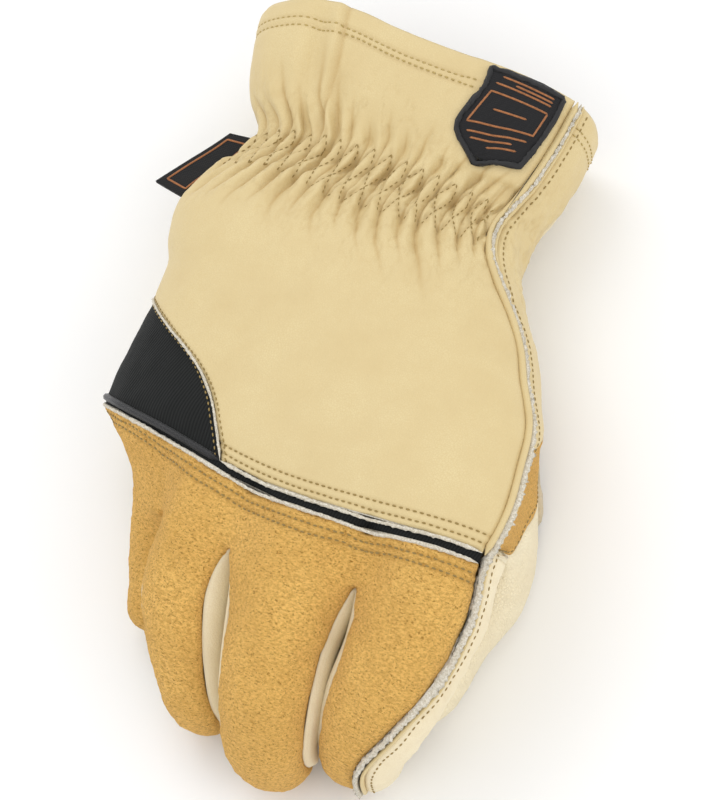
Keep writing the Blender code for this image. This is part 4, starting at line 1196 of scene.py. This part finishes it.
def side_relief(share, row, points, edge):
    """Slanting wrinkles at the wrist, with shade painted into them."""
    near = np.exp(-(((row - 0.28) / 0.16) ** 2))
    fine = crease_noise(points * np.array([0.7, 1.0, 0.7]), 0.006, 31.0)
    depth = 0.0013 * near * soft_noise(points, 0.009, 14.0, 3) - 0.0004 * near * fine
    # Painted shade in the wrinkles.
    return depth + edge_roll(edge), 0.15 * near * fine


def palm_relief(share, row, points, edge):
    """Loose wrinkles of soft palm leather, with shade painted into them."""
    fine = crease_noise(points, 0.010, 41.0)
    depth = 0.0006 * soft_noise(points, 0.014, 17.0, 4) - 0.00015 * fine
    # Painted shade in the creases.
    return depth + edge_roll(edge), 0.08 * fine


def plain_relief(share, row, points, edge):
    """Even leather with turned-down seams."""
    depth = 0.0003 * soft_noise(points, 0.010, 51.0, 3) + edge_roll(edge, SMALL_EDGE_ROLL)
    return depth, np.zeros(share.shape)


def strip_relief(share, row, points, edge):
    """Side strip pushed out between the fingers by the lining behind it, with shade painted along its seams.
    """
    bulge = STRIP_BULGE * np.sin(np.pi * np.clip(share, 0.0, 1.0))
    # Painted shade along the strip's seams.
    return bulge + edge_roll(edge, 0.0004), 0.10 * np.exp(-((edge / 0.0008) ** 2))


def fabric_relief(share, row, points, edge):
    """Stretch fabric sunk a little below the leather."""
    return 0.0003 * soft_noise(points, 0.012, 61.0, 2) - 0.0005, np.zeros(share.shape)


def hand_patch(palm, first_row, last_row, first_share, last_share, knots=None):
    """Place function of a hand panel between two rows and two share curves."""
    def place(across, down):
        number = first_row + (last_row - first_row) * down
        start = first_share(number)
        part = across if knots is None else np.interp(across, np.linspace(0.0, 1.0, len(knots)), knots)
        share = start + (last_share(number) - start) * part
        return hand_point(share, number, palm), share, row_place(share, number)
    return place


def crowded(down):
    """Share along a finger for a row of its grid."""
    return 1.0 - (1.0 - down) ** TIP_CROWDING


def finger_patch(finger, palm, knots):
    """Place function of one finger's back or palm."""
    def place(across, down):
        along = crowded(down)
        share = knots[finger] + (knots[finger + 1] - knots[finger]) * across
        return finger_skin(finger, across, along, palm), share, 1.0 + 0.5 * along
    return place


def strip_patch(gap, far):
    """Place function of the side strip on one of two neighbouring fingers."""
    def place(across, down):
        along = STRIP_CLOSING[1] * crowded(down)
        return side_skin(gap, far, across, along), across, along
    return place


def zero(number):
    """Share at the outseam."""
    return np.zeros(np.shape(number))


def one(number):
    """Share at the ulnar seam."""
    return np.ones(np.shape(number))


def back_end(number):
    """Share where the back panel ends and the insert begins."""
    return row_share("back_end", number)


def side_panel_end(number):
    """Share where the wrist side panel ends."""
    return row_share("side_panel", number)


def palm_start(number):
    """Share where the palm panel begins."""
    return row_share("palm_start", number)


def insert_share():
    """Share of the girth where the insert begins at the strip."""
    return float(back_end(np.array(STRIP_TOP)))


def thumb_ring(across):
    """Row and side of the thumb's base line at a place round the thumb."""
    half = STRIP_TOP - HOLE_TOP
    turn = across * 2.0 * half
    upper = turn <= half
    return np.where(upper, STRIP_TOP - turn, HOLE_TOP + turn - half), upper


def thumb_base_place(across, down):
    """Place of the thumb leather between the palm's opening and the thumb's first ring."""
    row, upper = thumb_ring(across)
    start = np.where(upper, row_share("patch", row), 0.0)
    step = start + (1.0 - start) * down
    points = np.where(upper[:, None], thumb_base(row, True, step), thumb_base(row, False, step))
    return points, across, down * 0.4


def thumb_tube_place(across, down):
    """Place of the thumb leather from its first ring to the tip."""
    row, upper = thumb_ring(across)
    angle = np.where(upper, row_value("upper_angle", row), row_value("lower_angle", row) - 360.0)
    along = crowded(down)
    return tube(THUMB_TABLE, angle, along, THUMB_TIP_START), across, 0.4 + 0.6 * along


def thumb_patch_place(across, down):
    """Place of the suede patch between the palm's opening and the thumb leather."""
    row = HOLE_TOP + (STRIP_TOP - HOLE_TOP) * across
    return thumb_base(row, True, row_share("patch", row) * down), across, down


def surfaces(*names):
    """Search trees over the outer skins of finished pieces."""
    trees = []
    for name in names:
        skin = bmesh.new()
        skin.from_mesh(bpy.data.objects[name].data)
        trees.append(BVHTree.FromBMesh(skin))
        skin.free()
    return trees


def nearest(trees, point):
    """Nearest place on several surfaces, and the way out of it."""
    found = [tree.find_nearest(point) for tree in trees]
    best = min((each for each in found if each[0] is not None), key=lambda each: each[3])
    return best[0], best[1]


def resampled(points, pitch):
    """Points at an even pitch along a path."""
    points = np.asarray(points)
    reached = np.concatenate([[0.0], np.cumsum(np.linalg.norm(np.diff(points, axis=0), axis=1))])
    goals = np.linspace(0.0, reached[-1], max(int(reached[-1] / pitch), 1) + 1)
    return np.stack([np.interp(goals, reached, points[:, axis]) for axis in range(3)], -1)


def sew(thread_work, points, trees, pitch, length, width):
    """Lay thread stitches along a path on the leather."""
    spots = resampled(points, pitch)
    for first, second in zip(spots[:-1], spots[1:]):
        middle, normal = nearest(trees, Vector((first + second) / 2.0))
        run = Vector(second - first)
        run -= normal * run.dot(normal)
        run.normalize()
        side = normal.cross(run)
        turn = Matrix((run * (length / 2.0), side * (width / 2.0), normal * (width / 3.0))).transposed()
        place = Matrix.Translation(middle + normal * (width / 5.0)) @ turn.to_4x4()
        bmesh.ops.create_uvsphere(thread_work, u_segments=6, v_segments=4, radius=1.0, matrix=place)


def steadied(rows):
    """Moving average along a path, with its ends kept."""
    count = len(rows)
    reach = np.minimum(np.minimum(np.arange(count), np.arange(count)[::-1]), STEADY_REACH)
    sums = np.concatenate([np.zeros((1, rows.shape[1])), np.cumsum(rows, axis=0)])
    numbers = np.arange(count)
    return (sums[numbers + reach + 1] - sums[numbers - reach]) / (2 * reach + 1)[:, None]


def path_frames(points, trees):
    """Way out of the leather and way across a path, at each of its points."""
    points = np.asarray(points)
    outwards = steadied(np.array([nearest(trees, Vector(point))[1] for point in points]))
    runs = np.gradient(points, axis=0)
    runs /= np.linalg.norm(runs, axis=1, keepdims=True)
    outwards = outwards - (outwards * runs).sum(1, keepdims=True) * runs
    outwards /= np.linalg.norm(outwards, axis=1, keepdims=True)
    return outwards, np.cross(runs, outwards)


def lay_ridge(trim, points, frames, section, tuft=0.0, seed=0.0, rounds=8, ends=5.0):
    """Add a closed ridge along a path, with a round section of a half width and a height, tufted if asked."""
    outwards, sides = frames
    width, rise = section
    count = len(points) - 1
    made = bmesh.ops.create_grid(trim, x_segments=count, y_segments=rounds, size=0.5)["verts"]
    for vertex in made:
        number = min(max(int(round((vertex.co.x + 0.5) * count)), 0), count)
        turn = (vertex.co.y + 0.5) * 2.0 * math.pi
        point = Vector(points[number])
        taper = RIDGE_TIP + (1.0 - RIDGE_TIP) * min(1.0, number / ends, (count - number) / ends)
        side = Vector(sides[number]) * math.cos(turn)
        out = Vector(outwards[number]) * math.sin(turn)
        rough = 1.0
        if tuft:
            place = (point + side * width) / tuft + Vector((seed, turn, 0.0))
            rough = 0.90 + 0.55 * noise.fractal(place, 0.6, 2.0, 3)
        vertex.co = point + (side * width + out * rise) * rough * taper
    bmesh.ops.remove_doubles(trim, verts=made, dist=MERGE)
    bmesh.ops.holes_fill(trim, edges=[edge for edge in trim.edges if edge.is_boundary], sides=0)


def ridge_piece(name, points, trees, section, material, slot, tuft=0.0, seed=0.0, snap=False, ends=5.0):
    """Ridge or cord along a path, as a piece of its own, snapped down to the surface where asked."""
    points = resampled(points, RIDGE_PITCH)
    if snap:
        points = np.array([nearest(trees, Vector(point))[0] for point in points])
    else:
        points = steadied(points)
    trim = bmesh.new()
    lay_ridge(trim, points, path_frames(points, trees), section, tuft, seed, ends=ends)
    return outward_piece(name, trim, material, slot)


def hand_line(row, palm, first, last, steps=240):
    """Points along a numbered row of the hand."""
    share = np.linspace(first, last, steps)
    return hand_point(share, np.full(steps, row), palm)


def level_line(level, palm, first, last, steps=240):
    """Points at one level below the hem."""
    share = np.linspace(first, last, steps)
    return body_skin(share, np.full(steps, level), palm)


def border_line(steps=160):
    """Points along the border between the back panel and the insert, from the ulnar seam to the strip."""
    number = np.linspace(INSERT_TOP, STRIP_TOP, steps)
    return number, back_end(number)


def outseam_line(share_on_hand, share_on_finger, reach, steps=240):
    """Line along the outseam, a reach of its length, at shares of its width from the palm to the back."""
    palm, back = outseam_edges(steps)
    share = np.interp(np.arange(len(palm)), (HAND_PART * steps, steps), (share_on_hand, share_on_finger))
    line = palm + (back - palm) * share[:, None]
    return resampled(line[:int(reach * len(line))], OUTSEAM_PITCH)


def outseam_edges(steps):
    """Palm-side and back-side edge of the outseam, from the hem to the tip of the index finger."""
    number = np.linspace(0, ROOT_ROW, steps)
    along = np.linspace(0.0, WELT_CLOSING[1], steps // 2)[1:]
    edges = []
    for palm in (True, False):
        hand = hand_point(np.zeros(steps), number, palm)
        edges.append(np.concatenate([hand, finger_skin(0, np.zeros(len(along)), along, palm)]))
    return edges


def inset_line(row, inset, last, steps):
    """Points beside a numbered row of the back, at an inset below it."""
    share = np.linspace(0.01, last, steps)
    level = row_place(share, np.full(steps, row)) + inset / HAND_RUN
    return body_skin(share, level, False)


def smocking_lines():
    """Slanting lines of the smocked diamonds across the wrist."""
    band = np.linspace(0.0, 1.0, 24)
    for sign in (-1.0, 1.0):
        for pleat in range(-2, int(1.0 / PLEAT_PITCH) + 3):
            share = (pleat - sign * LATTICE_RUN * band) * PLEAT_PITCH
            inside = (share > 0.012) & (share < 0.985)
            if inside.sum() < 4:
                continue
            share = share[inside]
            top = along_table(SMOCKING_TOP, share)
            foot = along_table(SMOCKING_FOOT, share)
            yield body_skin(share, top + (foot - top) * band[inside], False)


def line_beside_outseam(steps=240):
    """Stitch line on the palm side of the outseam, from the hem to the tip of the index finger."""
    number = np.linspace(0.2, ROOT_ROW, steps)
    along = np.linspace(0.0, 0.93, steps // 2)[1:]
    hand = hand_point(np.full(steps, 0.018), number, True)
    return np.concatenate([hand, finger_skin(0, np.full(len(along), 0.05), along, True)])


def thumb_patch_line(steps=160):
    """Stitch line along the suede patch, where it meets the thumb leather."""
    number = np.linspace(HOLE_TOP + 2.2, STRIP_TOP - 0.4, steps)
    return thumb_base(number, True, np.maximum(row_share("patch", number) - 0.06, 0.0))


def label_point(across, down):
    """Point of the label on the cuff, from its outer edge to its inner one and from the hem down."""
    table = np.array(LABEL)
    edges = [np.interp(down, np.linspace(0.0, 1.0, len(table)), table[:, column]) for column in range(4)]
    share = edges[0] + (edges[2] - edges[0]) * across
    row = edges[1] + (edges[3] - edges[1]) * across
    return body_skin(share, row, False), share, row


def bridge_creases(sheet, share_layer, row_layer):
    """Ease the stiff label, so that it lies straight over the small creases of the leather."""
    smooth_sheet(sheet, sheet.verts, LABEL_ROUNDS)


def label_relief(share, row, points, edge):
    """Label lifted clear of the leather, thinning to its border."""
    return LABEL_LIFT - 0.0004 * np.exp(-((edge / 0.001) ** 2)), np.zeros(share.shape)


def label_path(inset, steps=60):
    """Closed line round the label, an inset from its border given as a share."""
    far = 1.0 - inset
    turn = LABEL_CORNER - inset / 2.0
    corners = np.array([(inset, inset), (far, inset), (far, turn), (far, far), (inset, far), (inset, turn),
                        (inset, inset)])
    path = [np.linspace(first, second, steps)[:-1] for first, second in zip(corners, corners[1:])]
    path = np.concatenate(path + [corners[-1:]])
    return label_point(path[:, 0], path[:, 1])[0]


def copper_lines(trim, place, corners, bars, trees):
    """Lay the plain copper frame and bars woven into a label."""
    corners = np.array(corners + corners[:1])
    sides = [np.linspace(first, second, 20)[:-1] for first, second in zip(corners, corners[1:])]
    lines = [np.concatenate(sides + [corners[:1]])]
    for level, first, last in bars:
        lines.append(np.stack([np.linspace(first, last, 30), np.full(30, level)], -1))
    for line in lines:
        path = resampled(place(line[:, 0], line[:, 1])[0], COPPER_PITCH)
        path = np.array([nearest(trees, Vector(point))[0] for point in path])
        lay_ridge(trim, path, path_frames(path, trees), (COPPER_HALF, COPPER_RISE), rounds=6, ends=1.0)


def tag_place(across, down):
    """Place of the folded side tag, from the ulnar seam to its outer edge."""
    table = scaled(TAG, (LENGTH, WIDTH, LENGTH))
    edges = table[0] + (table[1] - table[0]) * down[:, None]
    inner = hand_section(edges[:, 0], np.full(len(edges), TAG_ANGLE))
    outer = np.stack([edges[:, 1], edges[:, 2], inner[:, 2]], -1)
    return inner + (outer - inner) * across[:, None], across, down


def tag_relief(share, row, points, edge):
    """Tag with a soft bulge where it folds."""
    return TAG_LIFT + 0.0002 * np.cos(np.pi * share), np.zeros(share.shape)


class GLOVE_OT_back(bpy.types.Operator):
    """Build the gathered back panel and the wrist side panel"""

    bl_idname = "glove.back"
    bl_label = "Back and wrist"

    def execute(self, context):
        sizes = context.scene.glove_sizes
        colours = context.scene.glove_colours
        leather = made_once(grain_leather, "grain_leather", colours, colours.leather)
        lining = made_once(fleece, "fleece_lining", colours)
        edge = made_once(cut_edge, "raw_leather_edge", colours)
        patch = Patch(230, 210, hand_patch(False, 0, STRIP_TOP, zero, back_end))
        leather_piece("back_leather", [patch], back_relief, [leather, lining, leather], "back_panel",
                      "back_leather", sizes.wall)
        side = Patch(44, 110, hand_patch(True, 0, TONGUE_TIP, zero, side_panel_end), -1)
        leather_piece("side_leather", [side], side_relief, [leather, lining, edge], "wrist_side_panel",
                      "side_leather", sizes.wall)
        return {"FINISHED"}


class GLOVE_OT_insert(bpy.types.Operator):
    """Build the stretch insert over the knuckles, its strip and its piping"""

    bl_idname = "glove.insert"
    bl_label = "Knuckle insert"

    def execute(self, context):
        sizes = context.scene.glove_sizes
        colours = context.scene.glove_colours
        fabric = made_once(ribbed_fabric, "stretch_knit", colours)
        patch = Patch(90, 70, hand_patch(False, INSERT_TOP, STRIP_TOP, back_end, one))
        leather_piece("insert_fabric", [patch], fabric_relief, [fabric], "knuckle_insert", "stretch_fabric",
                      sizes.wall)
        strip = Patch(240, 6, hand_patch(False, STRIP_TOP, STRIP_BOTTOM, zero, one, BACK_KNOTS))
        leather_piece("strip_fabric", [strip], fabric_relief, [fabric], "knuckle_strip", "strip_fabric",
                      sizes.wall)
        trees = surfaces("insert_fabric", "strip_fabric")
        cord = made_once(woven_yarn, "woven_black_cord", colours.weave, 0.35)
        section = (sizes.piping_radius, sizes.piping_radius * 1.2)
        ridge_piece("insert_piping", hand_line(STRIP_TOP, False, insert_share(), 0.995), trees, section, cord,
                    "strip_fabric", snap=True)
        return {"FINISHED"}


class GLOVE_OT_fingers(bpy.types.Operator):
    """Build the suede finger backs and the leather strips between the fingers"""

    bl_idname = "glove.fingers"
    bl_label = "Finger backs and sides"

    def execute(self, context):
        sizes = context.scene.glove_sizes
        colours = context.scene.glove_colours
        suede = made_once(split_suede, "split_suede", colours)
        leather = made_once(grain_leather, "palm_grain_leather", colours, colours.palm_leather)
        lining = made_once(fleece, "fleece_lining", colours)
        patches = [Patch(160, 36, hand_patch(False, STRIP_BOTTOM, ROOT_ROW, zero, one, BACK_KNOTS))]
        patches += [Patch(40, 120, finger_patch(finger, False, BACK_KNOTS)) for finger in range(4)]
        leather_piece("finger_suede", patches, suede_relief, [suede, lining, suede], "finger_back",
                      "finger_suede", sizes.wall, bridge_valleys)
        for gap, name in enumerate(("index_middle", "middle_ring", "ring_pinky")):
            sides = [Patch(12, 80, strip_patch(gap, far), -1 if far else 1) for far in (False, True)]
            leather_piece("side_strip_" + name, sides, strip_relief, [leather, lining, leather],
                          "fourchette_" + name, "strip_leather", 0.6 * sizes.wall)
        return {"FINISHED"}


class GLOVE_OT_palm(bpy.types.Operator):
    """Build the palm with its finger palms, the thumb and the suede patch at its root"""

    bl_idname = "glove.palm"
    bl_label = "Palm and thumb"

    def execute(self, context):
        sizes = context.scene.glove_sizes
        colours = context.scene.glove_colours
        leather = made_once(grain_leather, "palm_grain_leather", colours, colours.palm_leather)
        pebbled = made_once(grain_leather, "pebbled_leather", colours, colours.palm_leather, pebble=0.9,
                            cell=PEBBLE, pore_tone=0.06, depth=0.7 * BUMP_DEPTH, roughness=0.62)
        suede = made_once(split_suede, "golden_split_suede", colours, dark=0.15)
        lining = made_once(fleece, "fleece_lining", colours)
        patches = [Patch(120, 130, hand_patch(True, 0, ROOT_ROW, palm_start, one, PALM_KNOTS), -1)]
        patches += [Patch(30, 80, finger_patch(finger, True, PALM_KNOTS), -1) for finger in range(4)]
        leather_piece("palm_leather", patches, palm_relief, [leather, lining, leather], "palm_panel",
                      "palm_leather", sizes.wall)
        thumb = [Patch(144, 60, thumb_base_place, -1), Patch(144, 70, thumb_tube_place, -1)]
        leather_piece("thumb_leather", thumb, plain_relief, [pebbled, lining, pebbled], "thumb_shell",
                      "thumb_leather", sizes.wall)
        leather_piece("thumb_patch_suede", [Patch(90, 40, thumb_patch_place)], plain_relief,
                      [suede, lining, suede], "thumb_patch", "patch_suede", sizes.wall)
        return {"FINISHED"}


class GLOVE_OT_raw_edges(bpy.types.Operator):
    """Build the raw leather edges of the outseam, the back panel and the suede"""

    bl_idname = "glove.raw_edges"
    bl_label = "Raw edges"

    def execute(self, context):
        colours = context.scene.glove_colours
        pale = made_once(cut_edge, "raw_leather_edge", colours)
        trees = surfaces("back_leather", "side_leather", "finger_suede", "palm_leather", "thumb_leather",
                         "thumb_patch_suede", "strip_fabric", "insert_fabric")
        leather = made_once(grain_leather, "grain_leather", colours, colours.leather)
        layers = (
            ("outseam_raw_edge", pale, "raw_edge", "outseam_welt", OUTSEAM_RIDGE),
            ("outseam_lips", leather, "back_leather", None, OUTSEAM_LIPS),
        )
        for name, material, slot, node, ridges in layers:
            trim = bmesh.new()
            for on_hand, on_finger, reach, width, rise, tuft in ridges:
                path = outseam_line(on_hand, on_finger, reach)
                lay_ridge(trim, path, path_frames(path, trees), (width, rise), tuft, seed=3.0)
            outward_piece(name, trim, material, slot, node)
        number, share = border_line()
        edges = (
            ("back_raw_edge", hand_line(STRIP_TOP, False, 0.004, insert_share()), (EDGE_RIDGE, 0.0007), 20.0),
            ("insert_raw_edge", hand_point(share, number, False), (0.0004, 0.0006), 25.0),
            ("suede_raw_edge", hand_line(STRIP_BOTTOM, False, 0.004, 0.996), (EDGE_RIDGE, 0.0008), 30.0),
        )
        for name, line, section, seed in edges:
            ridge_piece(name, line, trees, section, pale, "raw_edge", tuft=EDGE_TUFT, seed=seed)
        return {"FINISHED"}


class GLOVE_OT_label(bpy.types.Operator):
    """Build the plain cuff label and the folded side tag"""

    bl_idname = "glove.label"
    bl_label = "Cuff label and side tag"

    def execute(self, context):
        sizes = context.scene.glove_sizes
        colours = context.scene.glove_colours
        weave = made_once(woven_yarn, "woven_label", colours.weave)
        overlock = made_once(spun_thread, "overlock_thread", colours.weave)
        copper = made_once(woven_yarn, "copper_yarn", colours.copper, 0.45, 0.5)
        leather_piece("cuff_label", [Patch(60, 60, label_point)], label_relief, [weave], "label_patch",
                      "label_weave", LABEL_THICKNESS, ease=bridge_creases)
        trees = surfaces("cuff_label")
        section = (sizes.border_radius, sizes.border_radius)
        ridge_piece("cuff_label_border", label_path(BORDER_INSET), trees, section, overlock, "label_weave",
                    tuft=0.0016, snap=True, ends=1.0)
        trim = bmesh.new()
        copper_lines(trim, label_point, LABEL_FRAME, LABEL_BARS, trees)
        outward_piece("cuff_label_copper", trim, copper, "label_weave")
        leather_piece("woven_side_tag", [Patch(30, 60, tag_place)], tag_relief, [weave], "side_tag",
                      "tag_weave", TAG_THICKNESS)
        trim = bmesh.new()
        copper_lines(trim, tag_place, TAG_FRAME, (), surfaces("woven_side_tag"))
        outward_piece("side_tag_copper", trim, copper, "tag_weave")
        return {"FINISHED"}


class GLOVE_OT_stitching(bpy.types.Operator):
    """Sew the rows of stitches"""

    bl_idname = "glove.stitching"
    bl_label = "Stitching"

    def execute(self, context):
        sizes = context.scene.glove_sizes
        colours = context.scene.glove_colours
        thread = made_once(spun_thread, "polyester_thread", colours.thread)
        pale = made_once(spun_thread, "pale_hem_thread", colours.pale_thread)
        normal = (sizes.stitch_pitch, sizes.stitch_length, sizes.thread)
        fine = (SMOCKING_PITCH, SMOCKING_STITCH, 0.8 * sizes.thread)
        back = surfaces("back_leather")
        palm = surfaces("palm_leather", "side_leather")
        suede = surfaces("finger_suede")
        insert = surfaces("insert_fabric")
        patch = surfaces("thumb_patch_suede")
        beside = surfaces("side_leather", "palm_leather", "thumb_patch_suede", "thumb_leather")
        hem = []
        for level in HEM_STITCH_ROWS:
            hem.append((level_line(level, False, HEM_STITCH_START, 0.995), back))
            hem.append((level_line(level, True, 0.004, 0.995), palm))
        last = insert_share() - 0.005
        knuckles = [(inset_line(STRIP_TOP, -inset, last, 200), back) for inset in EDGE_STITCH_ROWS]
        fingers = [(inset_line(STRIP_BOTTOM, inset, 0.99, 300), suede) for inset in SUEDE_STITCH_ROWS]
        number, border = border_line()
        outer = hand_point(border - 0.012, number, False)
        inner = hand_point(np.minimum(border + 0.013, 1.0), number, False)
        seams = (
            ("hem_stitching", "back_leather", pale, normal, hem),
            ("smocking_stitching", "back_leather", thread, fine, [(line, back) for line in smocking_lines()]),
            ("knuckle_stitching", "back_leather", thread, normal, knuckles),
            ("insert_stitching", "back_leather", thread, normal, [(outer, back), (inner, insert)]),
            ("suede_stitching", "finger_suede", thread, normal, fingers),
            ("outseam_stitching", "palm_leather", thread, normal, [(line_beside_outseam(), beside)]),
            ("thumb_patch_stitching", "patch_suede", thread, normal, [(thumb_patch_line(), patch)]),
        )
        for name, slot, material, stitch, lines in seams:
            rows = bmesh.new()
            for line, trees in lines:
                sew(rows, line, trees, *stitch)
            trim_piece(name, rows, [material], slot)
        return {"FINISHED"}


class GLOVE_OT_stage(bpy.types.Operator):
    """Set up the floor, the light and the camera"""

    bl_idname = "glove.stage"
    bl_label = "Floor, light and camera"

    def execute(self, context):
        colours = context.scene.glove_colours
        plane = bmesh.new()
        bmesh.ops.create_grid(plane, x_segments=1, y_segments=1, size=FLOOR_SIZE)
        bmesh.ops.translate(plane, verts=plane.verts, vec=(0.0, 0.0, -FLOOR_GAP))
        mesh = bpy.data.meshes.new("floor")
        plane.to_mesh(mesh)
        plane.free()
        paint, _, shader = new_material("matt_white_paint", 1.0, specular=0.0)
        shader.inputs["Base Color"].default_value = tuple(colours.floor)
        mesh.materials.append(paint)
        floor = bpy.data.objects.new("floor", mesh)
        context.scene.collection.objects.link(floor)

        world = bpy.data.worlds.new("studio_light")
        world.use_nodes = True
        world.node_tree.nodes["Background"].inputs["Color"].default_value = (1.0, 1.0, 1.0, 1.0)
        world.node_tree.nodes["Background"].inputs["Strength"].default_value = 1.0
        context.scene.world = world
        context.scene.view_settings.view_transform = "Standard"

        for name, place, size, power in LAMPS:
            data = bpy.data.lights.new(name, "AREA")
            data.size = size
            data.energy = power
            lamp = bpy.data.objects.new(name, data)
            lamp.location = place
            lamp.rotation_euler = (Vector(TARGET) - Vector(place)).to_track_quat("-Z", "Y").to_euler()
            context.scene.collection.objects.link(lamp)

        data = bpy.data.cameras.new("camera")
        data.type = "PERSP"
        data.lens = LENS
        data.shift_x = LENS_SHIFT
        data.clip_end = 20.0
        camera = bpy.data.objects.new("camera", data)
        back = Vector(CAMERA_BACK).normalized()
        right = Vector(CAMERA_UP).cross(back).normalized()
        turn = Matrix((right, back.cross(right), back)).transposed()
        camera.location = Vector(TARGET) + back * CAMERA_DISTANCE
        camera.rotation_euler = turn.to_euler()
        context.scene.collection.objects.link(camera)
        context.scene.camera = camera
        return {"FINISHED"}


class GLOVE_PT_panel(bpy.types.Panel):
    """Lists the glove's sizes, colours and building steps"""

    bl_idname = "GLOVE_PT_panel"
    bl_label = "Driver glove"
    bl_space_type = "VIEW_3D"
    bl_region_type = "UI"
    bl_category = "Glove"

    def draw(self, context):
        layout = self.layout
        for group in (context.scene.glove_sizes, context.scene.glove_colours):
            box = layout.box()
            for name in group.__annotations__:
                box.prop(group, name)
        for step in STEPS:
            layout.operator(step.bl_idname)


STEPS = (
    GLOVE_OT_back, GLOVE_OT_insert, GLOVE_OT_fingers, GLOVE_OT_palm, GLOVE_OT_raw_edges, GLOVE_OT_label,
    GLOVE_OT_stitching, GLOVE_OT_stage,
)
CLASSES = (GloveSizes, GloveColours, *STEPS, GLOVE_PT_panel)


def register():
    """Register the classes and the scene's properties."""
    for each in CLASSES:
        bpy.utils.register_class(each)
    bpy.types.Scene.glove_sizes = bpy.props.PointerProperty(type=GloveSizes)
    bpy.types.Scene.glove_colours = bpy.props.PointerProperty(type=GloveColours)


def unregister():
    """Remove the properties and the classes."""
    del bpy.types.Scene.glove_colours
    del bpy.types.Scene.glove_sizes
    for each in reversed(CLASSES):
        bpy.utils.unregister_class(each)


def main():
    """Build the glove step by step."""
    register()
    bpy.ops.glove.back()
    bpy.ops.glove.insert()
    bpy.ops.glove.fingers()
    bpy.ops.glove.palm()
    bpy.ops.glove.raw_edges()
    bpy.ops.glove.label()
    bpy.ops.glove.stitching()
    bpy.ops.glove.stage()


if __name__ == "__main__":
    main()
